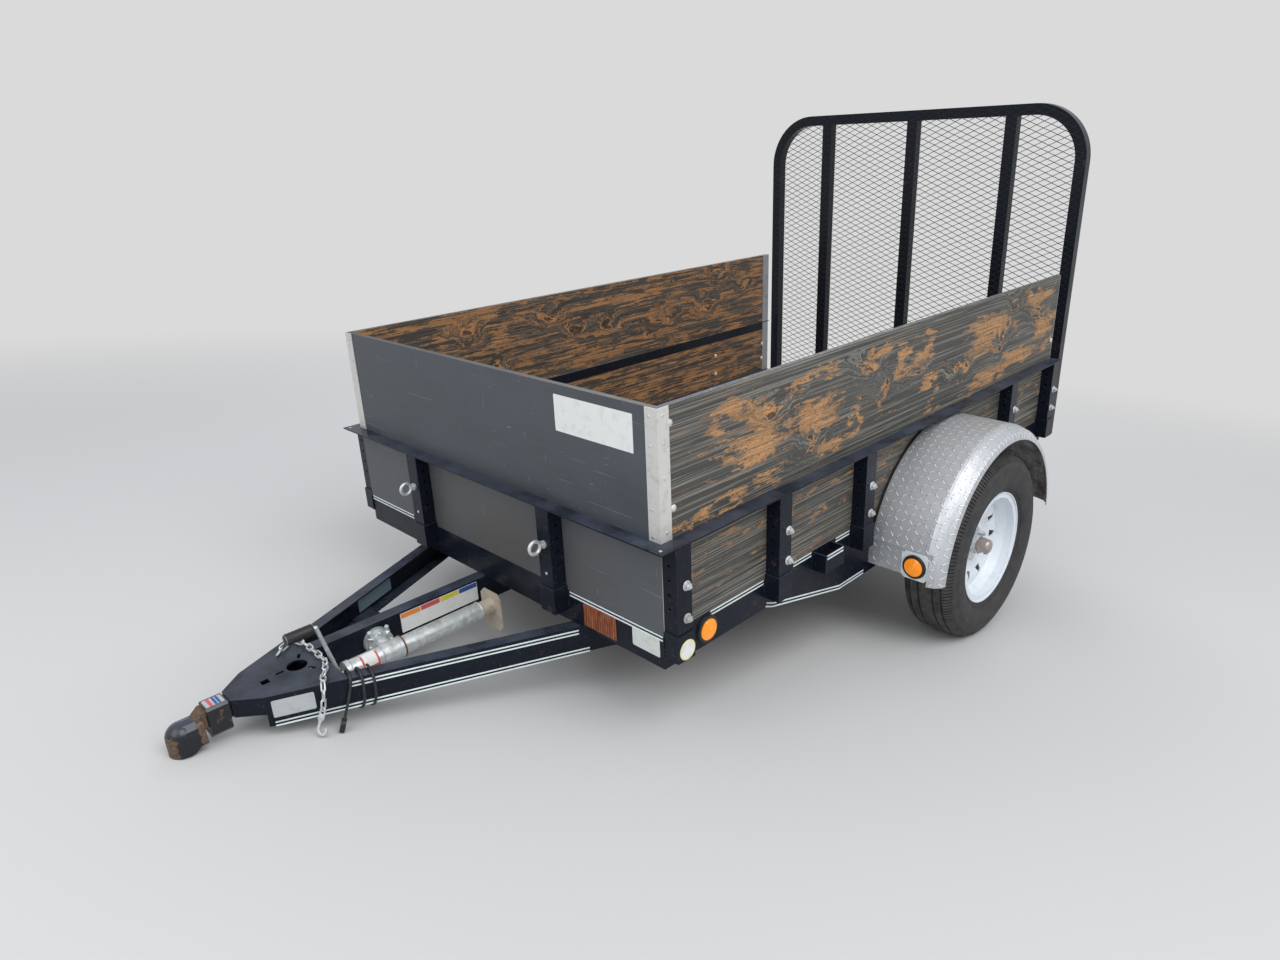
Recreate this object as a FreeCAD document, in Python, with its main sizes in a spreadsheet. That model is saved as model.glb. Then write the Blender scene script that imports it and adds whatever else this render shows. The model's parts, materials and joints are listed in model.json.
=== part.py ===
import FreeCAD, Part
import Sketcher
import math
import os
from FreeCAD import Placement, Rotation, Vector

# Single-axle utility trailer, millimetres. While it is drawn, +X points forward from the outer
# face of the front boards, +Y to the left and +Z up from the underside of the bed frame.
# The stance at the end pitches the finished trailer nose down onto its wheels and coupler.

os.makedirs("parts", exist_ok=True)
doc = FreeCAD.newDocument("utility_trailer")

SIZES = (
    # alias, millimetres or degrees, meaning
    ("bed_length", 2440.0, "bed, outer length"),
    ("bed_width", 1550.0, "bed, outer width"),
    ("rail_height", 102.0, "frame rail, height of the channel"),
    ("rail_flange", 40.0, "frame rail, width of the flange"),
    ("rail_wall", 5.0, "frame rail, wall"),
    ("cross_height", 50.0, "crossmember, height"),
    ("cross_flange", 38.0, "crossmember, flange"),
    ("cross_wall", 4.5, "crossmember, wall"),
    ("cross_end", 380.0, "crossmember, first and last from the ends of the bed"),
    ("deck_thickness", 38.0, "deck plank, thickness"),
    ("deck_gap", 3.0, "deck plank, gap to the next"),
    ("board_thickness", 19.0, "side board, thickness"),
    ("upper_height", 356.0, "upper side board, height"),
    ("mid_level", 373.0, "mid rail, top of its flange above the frame's underside"),
    ("mid_reach", 48.0, "mid rail, reach of the flange beyond the boards"),
    ("mid_wall", 4.0, "mid rail, wall"),
    ("mid_leg", 40.0, "mid rail, depth of the inner leg"),
    ("mid_overhang", 12.0, "mid rail, reach behind the bed"),
    ("upright_width", 57.0, "upright, width of its face"),
    ("upright_wall", 4.5, "upright, wall"),
    ("upright_foot", 36.0, "upright, height of its lower end"),
    ("upright_hole", 5.0, "upright, radius of the holes through its side walls"),
    ("upright_hole_first", 190.0, "upright, height of the lowest hole"),
    ("upright_hole_step", 42.0, "upright, distance between holes"),
    ("front_upright", 350.0, "upright on the front, distance from the centre line"),
    ("pocket_wall", 4.0, "stake pocket, wall"),
    ("pocket_low", 38.0, "stake pocket, lower edge"),
    ("pocket_high", 118.0, "stake pocket, upper edge"),
    ("empty_pocket", 725.0, "empty stake pocket, distance behind the front"),
    ("empty_width", 95.0, "empty stake pocket, inner width"),
    ("empty_high", 100.0, "empty stake pocket, upper edge"),
    ("trim_leg", 42.0, "corner trim, leg"),
    ("trim_wall", 2.0, "corner trim, wall"),
    ("jamb_leg", 45.0, "end jamb, leg along the board"),
    ("jamb_wall", 3.0, "end jamb, wall"),
    ("leg_angle", 24.0, "tongue leg, angle to the centre line"),
    ("leg_spread", 435.0, "tongue leg, outer face from the centre line at the front boards"),
    ("leg_height", 90.0, "tongue member, height"),
    ("leg_flange", 40.0, "tongue leg, flange"),
    ("leg_wall", 5.0, "tongue member, wall"),
    ("leg_front", 800.0, "tongue leg, front end"),
    ("leg_rear", 380.0, "tongue member, run under the bed"),
    ("centre_web", 50.0, "tongue centre member, face from the centre line"),
    ("centre_flange", 45.0, "tongue centre member, flange"),
    ("centre_front", 615.0, "tongue centre member, front end"),
    ("plate_rear", 602.0, "coupler plate, rear edge"),
    ("plate_tip", 866.0, "coupler plate, front edge"),
    ("plate_tip_half", 30.0, "coupler plate, half width at the front edge"),
    ("plate_wall", 5.0, "coupler plate, thickness"),
    ("plate_skirt", 72.0, "coupler plate, depth of its skirts"),
    ("jack_hole", 28.0, "coupler plate, radius of the jack hole"),
    ("jack_hole_at", 672.0, "coupler plate, jack hole from the front boards"),
    ("slot_half", 4.5, "coupler plate, half width of a slot for a jack bolt"),
    ("slot_inner", 38.0, "coupler plate, inner end of a slot from the jack hole's centre"),
    ("slot_outer", 60.0, "coupler plate, outer end of a slot"),
    ("window_at", 756.0, "coupler plate, rear edge of the small window"),
    ("window_side", 22.0, "coupler plate, side of the small window"),
    ("neck_rear", 780.0, "coupler neck, rear end"),
    ("neck_half", 23.0, "coupler neck, half width"),
    ("neck_height", 48.0, "coupler neck, height"),
    ("neck_front", 934.0, "coupler neck, front end of its straight part"),
    ("head_at", 990.0, "coupler head, centre of the socket from the front boards"),
    ("head_radius", 38.0, "coupler head, outer radius"),
    ("nose_length", 50.0, "coupler head, run of its cheeks behind the socket's centre"),
    ("head_drop", 49.0, "coupler head, centre of the dome below the plate"),
    ("head_bottom", 95.0, "coupler head, lower rim below the plate"),
    ("socket_radius", 25.9, "coupler socket, radius"),
    ("socket_drop", 58.0, "coupler socket, ball centre below the plate"),
    ("collar_rear", 872.0, "coupler collar, rear end"),
    ("collar_front", 926.0, "coupler collar, front end"),
    ("collar_wall", 7.0, "coupler collar, side wall"),
    ("collar_bottom", 82.0, "coupler collar, lower edge below the plate"),
    ("wheel_rear", 985.0, "wheels, distance ahead of the bed's rear end"),
    ("wheel_drop", 98.0, "wheels, axis below the frame's underside"),
    ("wheel_out", 167.0, "wheels, tyre centres beyond the bed's sides"),
    ("tyre_radius", 343.0, "tyre, outer radius"),
    ("tyre_width", 203.0, "tyre, section width"),
    ("bead_radius", 190.5, "rim, bead seat radius"),
    ("rim_lip", 208.0, "rim, outer radius of the lips"),
    ("rim_width", 140.0, "rim, width between the lips"),
    ("disc_wall", 4.0, "rim, wall"),
    ("hub_radius", 34.0, "hub, radius of the barrel"),
    ("hub_flange", 70.0, "hub, radius of the flange"),
    ("stud_ring", 57.15, "hub, radius of the stud circle"),
    ("stud_radius", 6.35, "hub, radius of a stud"),
    ("nut_radius", 9.5, "hub, radius of a wheel nut"),
    ("clamp_wire", 4.75, "axle clamp, radius of the bent bolt"),
    ("clamp_nut", 7.5, "axle clamp, radius of a nut"),
    ("clamp_plate", 6.0, "axle clamp, thickness of the plate on the spring"),
    ("clamp_rise", 20.0, "axle clamp, reach of the bolt above the spring"),
    ("spindle_radius", 12.7, "axle, radius of the spindle"),
    ("axle_radius", 25.4, "axle, radius of the tube"),
    ("spring_inset", 40.0, "leaf spring, distance inside the bed's side"),
    ("spring_width", 44.0, "leaf spring, width"),
    ("spring_half", 325.0, "leaf spring, half length between the eyes"),
    ("leaf_wall", 7.0, "leaf spring, thickness of a leaf"),
    ("spring_sag", 17.0, "leaf spring, sag of the main leaf"),
    ("eye_drop", 22.0, "leaf spring, eyes below the frame's underside"),
    ("eye_radius", 14.5, "leaf spring, outer radius of the eyes"),
    ("eye_bolt_radius", 7.0, "leaf spring, radius of the bolts in the eyes"),
    ("hanger_wall", 5.0, "spring hanger, wall"),
    ("hanger_half", 24.0, "spring hanger, half length"),
    ("hanger_drop", 42.0, "spring hanger, lower edge below the frame"),
    ("side_plate_front", 1016.0, "side plate, front point ahead of the wheels"),
    ("side_plate_knee", 608.0, "side plate, front knee ahead of the wheels"),
    ("side_plate_back", 505.0, "side plate, rear knee behind the wheels"),
    ("side_plate_end", 805.0, "side plate, rear point behind the wheels"),
    ("side_plate_drop", 103.0, "side plate, depth below the frame"),
    ("fender_radius", 455.0, "fender, radius of the crown"),
    ("fender_wall", 3.0, "fender, thickness"),
    ("fender_width", 271.0, "fender, reach from the bed"),
    ("fender_front", 74.0, "fender, angle of its front end from the top"),
    ("fender_rear", 84.0, "fender, angle of its rear end from the top"),
    ("apron_height", 96.0, "fender apron, height"),
    ("lip_depth", 46.0, "fender, width of the band that runs on to its lip"),
    ("lip_front", 88.0, "fender, angle of the lip's front end from the top"),
    ("lamp_radius", 32.0, "marker lamp, radius"),
    ("lamp_depth", 16.0, "marker lamp, depth"),
    ("lamp_out", 174.0, "marker lamp on the fender, distance beyond the bed's side"),
    ("lamp_level", -28.0, "marker lamp on the fender, height above the frame's underside"),
    ("grommet_radius", 42.0, "lamp grommet, outer radius"),
    ("grommet_depth", 9.0, "lamp grommet, depth"),
    ("lamp_plate", 96.0, "lamp plate, side"),
    ("gate_overhang", 11.0, "gate, reach beyond the bed's sides"),
    ("gate_top", 1405.0, "gate, top edge above the frame's underside"),
    ("gate_gap", 77.0, "gate, inner face behind the bed"),
    ("gate_tube", 45.0, "gate, side of its square tube"),
    ("gate_corner", 230.0, "gate, outer radius of the upper corners"),
    ("gate_bar", 50.0, "gate, width of an upright bar"),
    ("gate_bar_at", 460.0, "gate, outer bars from the centre line"),
    ("mesh_long", 60.0, "gate mesh, long way of a diamond"),
    ("mesh_short", 27.0, "gate mesh, short way of a diamond"),
    ("mesh_strand", 2.4, "gate mesh, width of a strand"),
    ("mesh_wall", 1.2, "gate mesh, thickness of a layer of strands"),
    ("hinge_back", 45.0, "gate hinge, axis behind the bed"),
    ("hinge_level", 22.0, "gate hinge, axis above the frame's underside"),
    ("hinge_pin", 8.0, "gate hinge, radius of the pin"),
    ("hinge_barrel", 14.0, "gate hinge, radius of the barrel"),
    ("hinge_half", 25.0, "gate hinge, half length of the barrel"),
    ("hinge_inset", 255.0, "gate hinge, distance inside the bed's side"),
    ("hinge_lug", 8.0, "gate hinge, thickness of a lug"),
    ("swivel_at", 410.0, "jack, swivel from the front boards"),
    ("jack_line", 40.0, "jack, distance from the centre line"),
    ("jack_drop", 56.0, "jack, axis below the frame's underside"),
    ("jack_outer", 28.5, "jack, radius of the outer tube"),
    ("jack_inner", 24.7, "jack, radius of the inner tube"),
    ("jack_wall", 3.5, "jack, wall of the outer tube"),
    ("jack_rear", 96.0, "jack, rear end of the outer tube"),
    ("jack_front", 545.0, "jack, front end of the outer tube"),
    ("foot_at", 45.0, "jack foot, rear face from the front boards"),
    ("foot_wall", 5.0, "jack foot, thickness"),
    ("foot_width", 104.0, "jack foot, width"),
    ("foot_rise", 50.0, "jack foot, upper edge above the jack's axis"),
    ("foot_fall", 84.0, "jack foot, lower edge below the jack's axis"),
    ("sleeve_half", 32.0, "jack, half length of the sleeve at the swivel"),
    ("sleeve_wall", 4.0, "jack, wall of the sleeve"),
    ("swivel_radius", 43.0, "jack swivel, radius of the disc"),
    ("swivel_wall", 18.0, "jack swivel, thickness of the fixed disc"),
    ("crank_radius", 6.0, "jack crank, radius of the rod"),
    ("crank_rise", 171.0, "jack crank, height of the grip over the jack"),
    ("crank_lean", 40.0, "jack crank, lean of the arm"),
    ("grip_length", 78.0, "jack crank, length of the grip"),
    ("grip_radius", 15.0, "jack crank, radius of the grip"),
    ("eye_ring", 19.0, "eye bolt, radius of the ring"),
    ("eye_wire", 5.5, "eye bolt, radius of the wire"),
    ("eye_level", 258.0, "eye bolt, height above the frame's underside"),
    ("gusset_rear", 300.0, "tongue gusset, rear edge from the front boards"),
    ("gusset_front", 385.0, "tongue gusset, front edge"),
    ("chain_bar", 5.5, "safety chain, thickness of a link's bar"),
    ("chain_inner", 26.0, "safety chain, inner length of a link"),
    ("chain_width", 20.0, "safety chain, outer width of a link"),
    ("hook_wall", 8.0, "safety chain, thickness of the hook"),
    ("wire_radius", 4.0, "wiring lead, radius"),
    ("plug_length", 34.0, "wiring plug, length"),
    ("seat_gap", 0.3, "clearance between seated pieces"),
    ("run_gap", 0.05, "radial clearance of a pin or shaft"),
)

sheet = doc.addObject("Spreadsheet::Sheet", "dims")
for row, (alias, value, meaning) in enumerate(SIZES, start=1):
    sheet.set(f"A{row}", meaning)
    sheet.set(f"B{row}", str(value))
    sheet.setAlias(f"B{row}", alias)
doc.recompute()


class Size:
    """A number together with the spreadsheet formula that drives it."""

    def __init__(self, value, formula):
        self.value = value
        self.formula = formula

    def __add__(self, other):
        other = as_size(other)
        return Size(self.value + other.value, f"({self.formula} + {other.formula})")

    def __sub__(self, other):
        other = as_size(other)
        return Size(self.value - other.value, f"({self.formula} - {other.formula})")

    def __mul__(self, other):
        other = as_size(other)
        return Size(self.value * other.value, f"({self.formula} * {other.formula})")

    def __truediv__(self, other):
        other = as_size(other)
        return Size(self.value / other.value, f"({self.formula} / {other.formula})")

    def __neg__(self):
        return Size(-self.value, f"(0 - {self.formula})")

    def __radd__(self, other):
        return as_size(other) + self

    def __rsub__(self, other):
        return as_size(other) - self

    def __rmul__(self, other):
        return as_size(other) * self


def as_size(number):
    return number if isinstance(number, Size) else Size(float(number), repr(float(number)))


def sine(angle):
    return Size(math.sin(math.radians(angle.value)), f"sin({angle.formula} * 1deg)")


def cosine(angle):
    return Size(math.cos(math.radians(angle.value)), f"cos({angle.formula} * 1deg)")


def arc_sine(ratio):
    return Size(math.degrees(math.asin(ratio.value)), f"(asin({ratio.formula}) / 1deg)")


S = {alias: Size(value, f"dims.{alias}") for alias, value, meaning in SIZES}
ZERO = as_size(0)
nodes = []
cuts = []

XY = "XY_Plane"
XZ = "XZ_Plane"
YZ = "YZ_Plane"


def bind(target, name, size):
    target.setExpression(name, as_size(size).formula)


def polygon(*corners):
    return ("polygon", [(as_size(u), as_size(v)) for u, v in corners])


def rectangle(left, right, low, high):
    return polygon((left, low), (right, low), (right, high), (left, high))


def circle(u, v, radius):
    return ("circle", as_size(u), as_size(v), as_size(radius))


def fix_point(sketch, geometry, point, u, v):
    for kind, size in (("DistanceX", u), ("DistanceY", v)):
        held = sketch.addConstraint(Sketcher.Constraint(kind, -1, 1, geometry, point, size.value))
        sketch.setExpression(f"Constraints[{held}]", size.formula)


def draw_polygon(sketch, corners):
    first = sketch.GeometryCount
    count = len(corners)
    points = [Vector(u.value, v.value, 0) for u, v in corners]
    for index in range(count):
        sketch.addGeometry(Part.LineSegment(points[index], points[(index + 1) % count]), False)
    for index in range(count):
        after = first + (index + 1) % count
        sketch.addConstraint(Sketcher.Constraint("Coincident", first + index, 2, after, 1))
    for index, (u, v) in enumerate(corners):
        fix_point(sketch, first + index, 1, u, v)


def draw_circle(sketch, u, v, radius):
    shape = Part.Circle(Vector(u.value, v.value, 0), Vector(0, 0, 1), radius.value)
    index = sketch.addGeometry(shape, False)
    fix_point(sketch, index, 3, u, v)
    held = sketch.addConstraint(Sketcher.Constraint("Radius", index, radius.value))
    sketch.setExpression(f"Constraints[{held}]", radius.formula)


def sketch_on(body, plane, level, outlines, centre=(ZERO, ZERO)):
    """A sketch parallel to a base plane of its body, at a level along the plane's normal."""
    base = next(item for item in body.Origin.OriginFeatures if item.Role == plane)
    sketch = body.newObject("Sketcher::SketchObject", "outline")
    sketch.AttachmentSupport = [(base, "")]
    sketch.MapMode = "FlatFace"
    bind(sketch, "AttachmentOffset.Base.x", centre[0])
    bind(sketch, "AttachmentOffset.Base.y", centre[1])
    bind(sketch, "AttachmentOffset.Base.z", level)
    for outline in outlines:
        if outline[0] == "polygon":
            draw_polygon(sketch, outline[1])
        else:
            draw_circle(sketch, *outline[1:])
    return sketch


def new_body(name):
    return doc.addObject("PartDesign::Body", name)


def pad(body, plane, low, high, *outlines):
    """Fills the outlines between two places along the plane's axis (the XZ normal is -Y)."""
    low, high = as_size(low), as_size(high)
    sketch = sketch_on(body, plane, -high if plane == XZ else low, outlines)
    feature = body.newObject("PartDesign::Pad", "pad")
    feature.Profile = sketch
    bind(feature, "Length", high - low)
    return feature


def pocket(body, plane, low, high, *outlines):
    """Removes the outlines between two places along the plane's axis."""
    low, high = as_size(low), as_size(high)
    sketch = sketch_on(body, plane, -low if plane == XZ else high, outlines)
    feature = body.newObject("PartDesign::Pocket", "pocket")
    feature.Profile = sketch
    bind(feature, "Length", high - low)
    cuts.append(feature)
    return feature


def revolve(body, plane, level, centre, axis, outlines, angle=360.0, reverse=False, midplane=False):
    """Turns the outlines, drawn about the centre, around the sketch's own H or V axis."""
    sketch = sketch_on(body, plane, level, outlines, centre)
    feature = body.newObject("PartDesign::Revolution", "revolution")
    feature.Profile = sketch
    feature.ReferenceAxis = (sketch, [axis])
    feature.Reversed = reverse
    feature.Midplane = midplane
    bind(feature, "Angle", angle)
    return feature


def cylinder(name, radius, length, base, direction):
    item = doc.addObject("Part::Cylinder", name)
    bind(item, "Radius", radius)
    bind(item, "Height", length)
    turn = Rotation(Vector(0, 0, 1), direction)
    item.Placement = Placement(Vector(), turn)
    for letter, place in zip("xyz", base):
        bind(item, f"Placement.Base.{letter}", place)
    return item


def sphere(name, radius, base):
    item = doc.addObject("Part::Sphere", name)
    bind(item, "Radius", radius)
    for letter, place in zip("xyz", base):
        bind(item, f"Placement.Base.{letter}", place)
    return item


def fuse(name, *items):
    item = doc.addObject("Part::MultiFuse", name)
    item.Shapes = list(items)
    return item


def cut(name, base, tool):
    item = doc.addObject("Part::Cut", name)
    item.Base = base
    item.Tool = tool
    return item


def gather(name, items):
    item = doc.addObject("Part::Compound", name)
    item.Links = list(items)
    return item


def node(item, label, place=None):
    """Enters an object as a sub-part, placed in the level trailer by its own placement."""
    item.Label = label
    nodes.append((item, place or Placement()))


def side_span(side, near, far):
    """Two distances from the centre line, as low and high on the given side."""
    return (near, far) if side > 0 else (-far, -near)


HALF = S["bed_width"] / 2
SIDES = (("left", 1), ("right", -1))


def perimeter_frame():
    body = new_body("perimeter_frame")
    inner_x = S["rail_flange"]
    outer = rectangle(-S["bed_length"], 0, -HALF, HALF)
    hole = rectangle(inner_x - S["bed_length"], -inner_x, inner_x - HALF, HALF - inner_x)
    pad(body, XY, 0, S["rail_height"], outer, hole)
    wall = S["rail_wall"]
    slot = rectangle(wall - S["bed_length"], -wall, wall - HALF, HALF - wall)
    pocket(body, XY, wall, S["rail_height"] - wall, slot)
    node(body, "perimeter_frame")


CROSS_TOP = S["rail_height"] - S["rail_wall"] - S["seat_gap"] - S["deck_thickness"]
INNER_HALF = HALF - S["rail_wall"] - S["seat_gap"]


CROSS_COUNT = 5
CROSS_STEP = (S["bed_length"] - 2 * S["cross_end"]) / (CROSS_COUNT - 1)


def crossmembers():
    members = []
    for index in range(CROSS_COUNT):
        front = S["cross_end"] - S["bed_length"] + index * CROSS_STEP
        back = front - S["cross_flange"]
        low = CROSS_TOP - S["cross_height"]
        wall = S["cross_wall"]
        body = new_body(f"crossmember_{index + 1}")
        section = polygon(
            (front, low), (front, CROSS_TOP), (back, CROSS_TOP), (back, CROSS_TOP - wall),
            (front - wall, CROSS_TOP - wall), (front - wall, low + wall), (back, low + wall), (back, low))
        pad(body, XZ, -INNER_HALF, INNER_HALF, section)
        members.append(body)
    node(gather("crossmembers", members), "crossmembers")


DECK_COUNT = 8


def deck_boards():
    planks = []
    width = (2 * INNER_HALF - (DECK_COUNT - 1) * S["deck_gap"]) / DECK_COUNT
    end = S["rail_wall"] + S["seat_gap"]
    for index in range(DECK_COUNT):
        low = -INNER_HALF + index * (width + S["deck_gap"])
        body = new_body(f"deck_board_{index + 1}")
        pad(body, XY, CROSS_TOP, CROSS_TOP + S["deck_thickness"],
            rectangle(end - S["bed_length"], -end, low, low + width))
        planks.append(body)
    node(gather("deck_boards", planks), "deck_boards")


BOARD_LOW_TOP = S["mid_level"] - S["mid_wall"] - S["seat_gap"]


def wall_boards():
    levels = (("lower", S["rail_height"], BOARD_LOW_TOP),
              ("upper", S["mid_level"], S["mid_level"] + S["upper_height"]))
    thick = S["board_thickness"]
    for level, low, high in levels:
        body = new_body(f"{level}_board_front")
        pad(body, XY, low, high, rectangle(-thick, 0, -HALF, HALF))
        node(body, f"{level}_board_front")
        for name, side in SIDES:
            near, far = side_span(side, HALF - thick, HALF)
            body = new_body(f"{level}_board_{name}")
            pad(body, XY, low, high,
                rectangle(-S["bed_length"], -thick - S["seat_gap"], near, far))
            node(body, f"{level}_board_{name}")


def mid_rail():
    body = new_body("mid_rail")
    wall = S["mid_wall"]
    reach = S["mid_reach"]
    leg_out = S["board_thickness"] + S["seat_gap"]
    inner = leg_out + wall
    end = -S["bed_length"] - S["mid_overhang"]
    flange = polygon(
        (reach, -HALF - reach), (reach, HALF + reach), (end, HALF + reach), (end, HALF - inner),
        (-inner, HALF - inner), (-inner, inner - HALF), (end, inner - HALF), (end, -HALF - reach))
    pad(body, XY, S["mid_level"] - wall, S["mid_level"], flange)
    stop = S["jamb_leg"] + S["seat_gap"] - S["bed_length"]
    leg = polygon(
        (-leg_out, leg_out - HALF), (-leg_out, HALF - leg_out), (stop, HALF - leg_out),
        (stop, HALF - inner), (-inner, HALF - inner), (-inner, inner - HALF),
        (stop, inner - HALF), (stop, leg_out - HALF))
    pad(body, XY, S["mid_level"] - S["mid_leg"], S["mid_level"] - wall, leg)
    node(body, "mid_rail")


SIDE_UPRIGHTS = (
    # name, end of the bed that it is measured from, distance of its centre from there
    ("first", "front", 31.0),
    ("second", "front", 465.0),
    ("third", "front", 922.0),
    ("fourth", "rear", 450.0),
    ("rear", "rear", 40.0),
)
UPRIGHT_HOLES = 4
UPRIGHT_TOP = S["mid_level"] - S["mid_wall"] - S["seat_gap"]


def channel_plan(centre, width, depth, wall, start, side, along_x):
    """Plan of a channel standing on a face, open towards it, its web outermost."""
    a = centre - width / 2
    b = centre + width / 2
    near = start * side
    far = (start + depth) * side
    web = (start + depth - wall) * side
    corners = [(a, near), (a, far), (b, far), (b, near), (b - wall, near), (b - wall, web),
               (a + wall, web), (a + wall, near)]
    if not along_x:
        corners = [(v, u) for u, v in corners]
    return polygon(*corners)


def upright(name, centre, start, side, along_x):
    body = new_body(f"upright_{name}")
    plan = channel_plan(centre, S["upright_width"], S["mid_reach"] - S["seat_gap"],
                        S["upright_wall"], start, side, along_x)
    pad(body, XY, S["upright_foot"], UPRIGHT_TOP, plan)
    depth = side * (start + S["mid_reach"] * 0.45)
    holes = []
    for index in range(UPRIGHT_HOLES):
        level = S["upright_hole_first"] + index * S["upright_hole_step"]
        holes.append(circle(depth, level, S["upright_hole"]))
    half = S["upright_width"] / 2
    pocket(body, YZ if along_x else XZ, centre - half, centre + half, *holes)
    return body


def pocket_strap(name, centre, width, high, start, side, along_x):
    body = new_body(f"pocket_{name}")
    wall = S["pocket_wall"]
    depth = S["mid_reach"] + S["seat_gap"] + wall
    plan = channel_plan(centre, width + 2 * (S["seat_gap"] + wall), depth, wall, start, side, along_x)
    pad(body, XY, S["pocket_low"], high, plan)
    return body


def uprights_and_pockets():
    posts = []
    straps = []
    start = HALF + S["seat_gap"]
    for name, side in SIDES:
        for title, end, distance in SIDE_UPRIGHTS:
            centre = as_size(-distance) if end == "front" else distance - S["bed_length"]
            posts.append(upright(f"{name}_{title}", centre, start, side, True))
            straps.append(pocket_strap(f"{name}_{title}", centre, S["upright_width"],
                                       S["pocket_high"], HALF, side, True))
        straps.append(pocket_strap(f"{name}_empty", -S["empty_pocket"], S["empty_width"],
                                   S["empty_high"], HALF, side, True))
        across = side * S["front_upright"]
        posts.append(upright(f"front_{name}", across, S["seat_gap"], 1, False))
        straps.append(pocket_strap(f"front_{name}", across, S["upright_width"],
                                   S["pocket_high"], ZERO, 1, False))
    node(gather("uprights", posts), "uprights")
    node(gather("stake_pockets", straps), "stake_pockets")


def corner_trims():
    trims = []
    wall = S["trim_wall"]
    leg = S["trim_leg"]
    gap = S["seat_gap"]
    low = S["mid_level"] + gap
    high = S["mid_level"] + S["upper_height"]
    for name, side in SIDES:
        out = (HALF + gap + wall) * side
        skin = (HALF + gap) * side
        edge = (HALF + gap + wall - leg) * side
        plan = polygon((gap + wall, out), (gap + wall - leg, out), (gap + wall - leg, skin), (gap, skin),
                       (gap, edge), (gap + wall, edge))
        body = new_body(f"corner_trim_{name}")
        pad(body, XY, low, high, plan)
        trims.append(body)
    node(gather("corner_trims", trims), "corner_trims")


def end_jambs():
    jambs = []
    wall = S["jamb_wall"]
    inner = HALF - S["board_thickness"] - S["seat_gap"]
    face = -S["bed_length"] - S["seat_gap"]
    for name, side in SIDES:
        plan = polygon((face, HALF * side), (face - wall, HALF * side), (face - wall, (inner - wall) * side),
                       (face + S["jamb_leg"], (inner - wall) * side), (face + S["jamb_leg"], inner * side),
                       (face, inner * side))
        for part, low, high in (("lower", S["rail_height"], BOARD_LOW_TOP),
                                ("upper", S["mid_level"], S["mid_level"] + S["upper_height"])):
            body = new_body(f"jamb_{name}_{part}")
            pad(body, XY, low, high, plan)
            jambs.append(body)
    node(gather("end_jambs", jambs), "end_jambs")


def tongue_legs():
    wall = S["leg_wall"]
    low = -S["leg_height"]
    for name, side in SIDES:
        body = new_body(f"tongue_leg_{name}")
        web = -wall * side
        lip = -S["leg_flange"] * side
        section = polygon((0, low), (0, 0), (lip, 0), (lip, -wall), (web, -wall), (web, low + wall),
                          (lip, low + wall), (lip, low))
        stretch = S["leg_front"] / cosine(S["leg_angle"])
        pad(body, YZ, -S["leg_rear"], stretch, section)
        turn = Rotation(Vector(0, 0, 1), -side * S["leg_angle"].value)
        node(body, f"tongue_leg_{name}", Placement(Vector(0, side * S["leg_spread"].value, 0), turn))


def tongue_centre():
    body = new_body("tongue_centre")
    wall = S["leg_wall"]
    low = -S["leg_height"]
    face = -S["centre_web"]
    lip = face - S["centre_flange"]
    section = polygon((face, low), (face, 0), (lip, 0), (lip, -wall), (face - wall, -wall),
                      (face - wall, low + wall), (lip, low + wall), (lip, low))
    pad(body, YZ, -S["leg_rear"], S["centre_front"], section)
    node(body, "tongue_centre")


def tongue_gusset():
    body = new_body("tongue_gusset")
    wall = S["leg_wall"]
    low = -S["leg_height"] + wall + S["seat_gap"]
    near = -S["centre_web"] - wall - S["seat_gap"]
    lip = S["leg_wall"] / cosine(S["leg_angle"]) + S["seat_gap"]
    rear = S["gusset_rear"]
    front = S["gusset_front"]
    pad(body, XY, low, low + wall, polygon(
        (rear, near), (front, near), (front, lip - leg_face(front)), (rear, lip - leg_face(rear))))
    node(body, "tongue_gusset")


def leg_face(x):
    """Distance from the centre line to a leg's outer face at a place along the trailer."""
    slope = sine(S["leg_angle"]) / cosine(S["leg_angle"])
    return S["leg_spread"] - x * slope


def coupler_plate():
    body = new_body("coupler_plate")
    wall = S["plate_wall"]
    rear = S["plate_rear"]
    shoulder = S["leg_front"]
    skin = S["seat_gap"] / cosine(S["leg_angle"])
    thick = wall / cosine(S["leg_angle"])
    tip = S["plate_tip"]
    tip_half = S["plate_tip_half"]
    rear_out = leg_face(rear) + skin + thick
    shoulder_out = leg_face(shoulder) + skin + thick
    outline = polygon((rear, -rear_out), (shoulder, -shoulder_out), (tip, -tip_half), (tip, tip_half),
                      (shoulder, shoulder_out), (rear, rear_out))
    jack = circle(S["jack_hole_at"], 0, S["jack_hole"])
    pad(body, XY, 0, wall, outline, jack)
    cuts_through = []
    half = S["slot_half"]
    for angle in (0, 120, 240):
        turn = as_size(angle)
        corners = []
        for along, across in ((S["slot_inner"], -half), (S["slot_outer"], -half),
                              (S["slot_outer"], half), (S["slot_inner"], half)):
            corners.append((S["jack_hole_at"] + along * cosine(turn) - across * sine(turn),
                            along * sine(turn) + across * cosine(turn)))
        cuts_through.append(polygon(*corners))
    window = S["window_at"]
    cuts_through.append(rectangle(window, window + S["window_side"], 2, S["window_side"] + 2))
    pocket(body, XY, 0, wall, *cuts_through)
    for side in (1, -1):
        strip = polygon((rear, side * (rear_out - thick)), (rear, side * rear_out),
                        (shoulder, side * shoulder_out), (shoulder, side * (shoulder_out - thick)))
        pad(body, XY, -S["plate_skirt"], 0, strip)
        cheek = polygon((shoulder, side * (shoulder_out - thick)), (shoulder, side * shoulder_out),
                        (tip, side * tip_half), (tip - wall, side * (tip_half - wall)))
        pad(body, XY, -S["neck_height"], 0, cheek)
    node(body, "coupler_plate")


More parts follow.
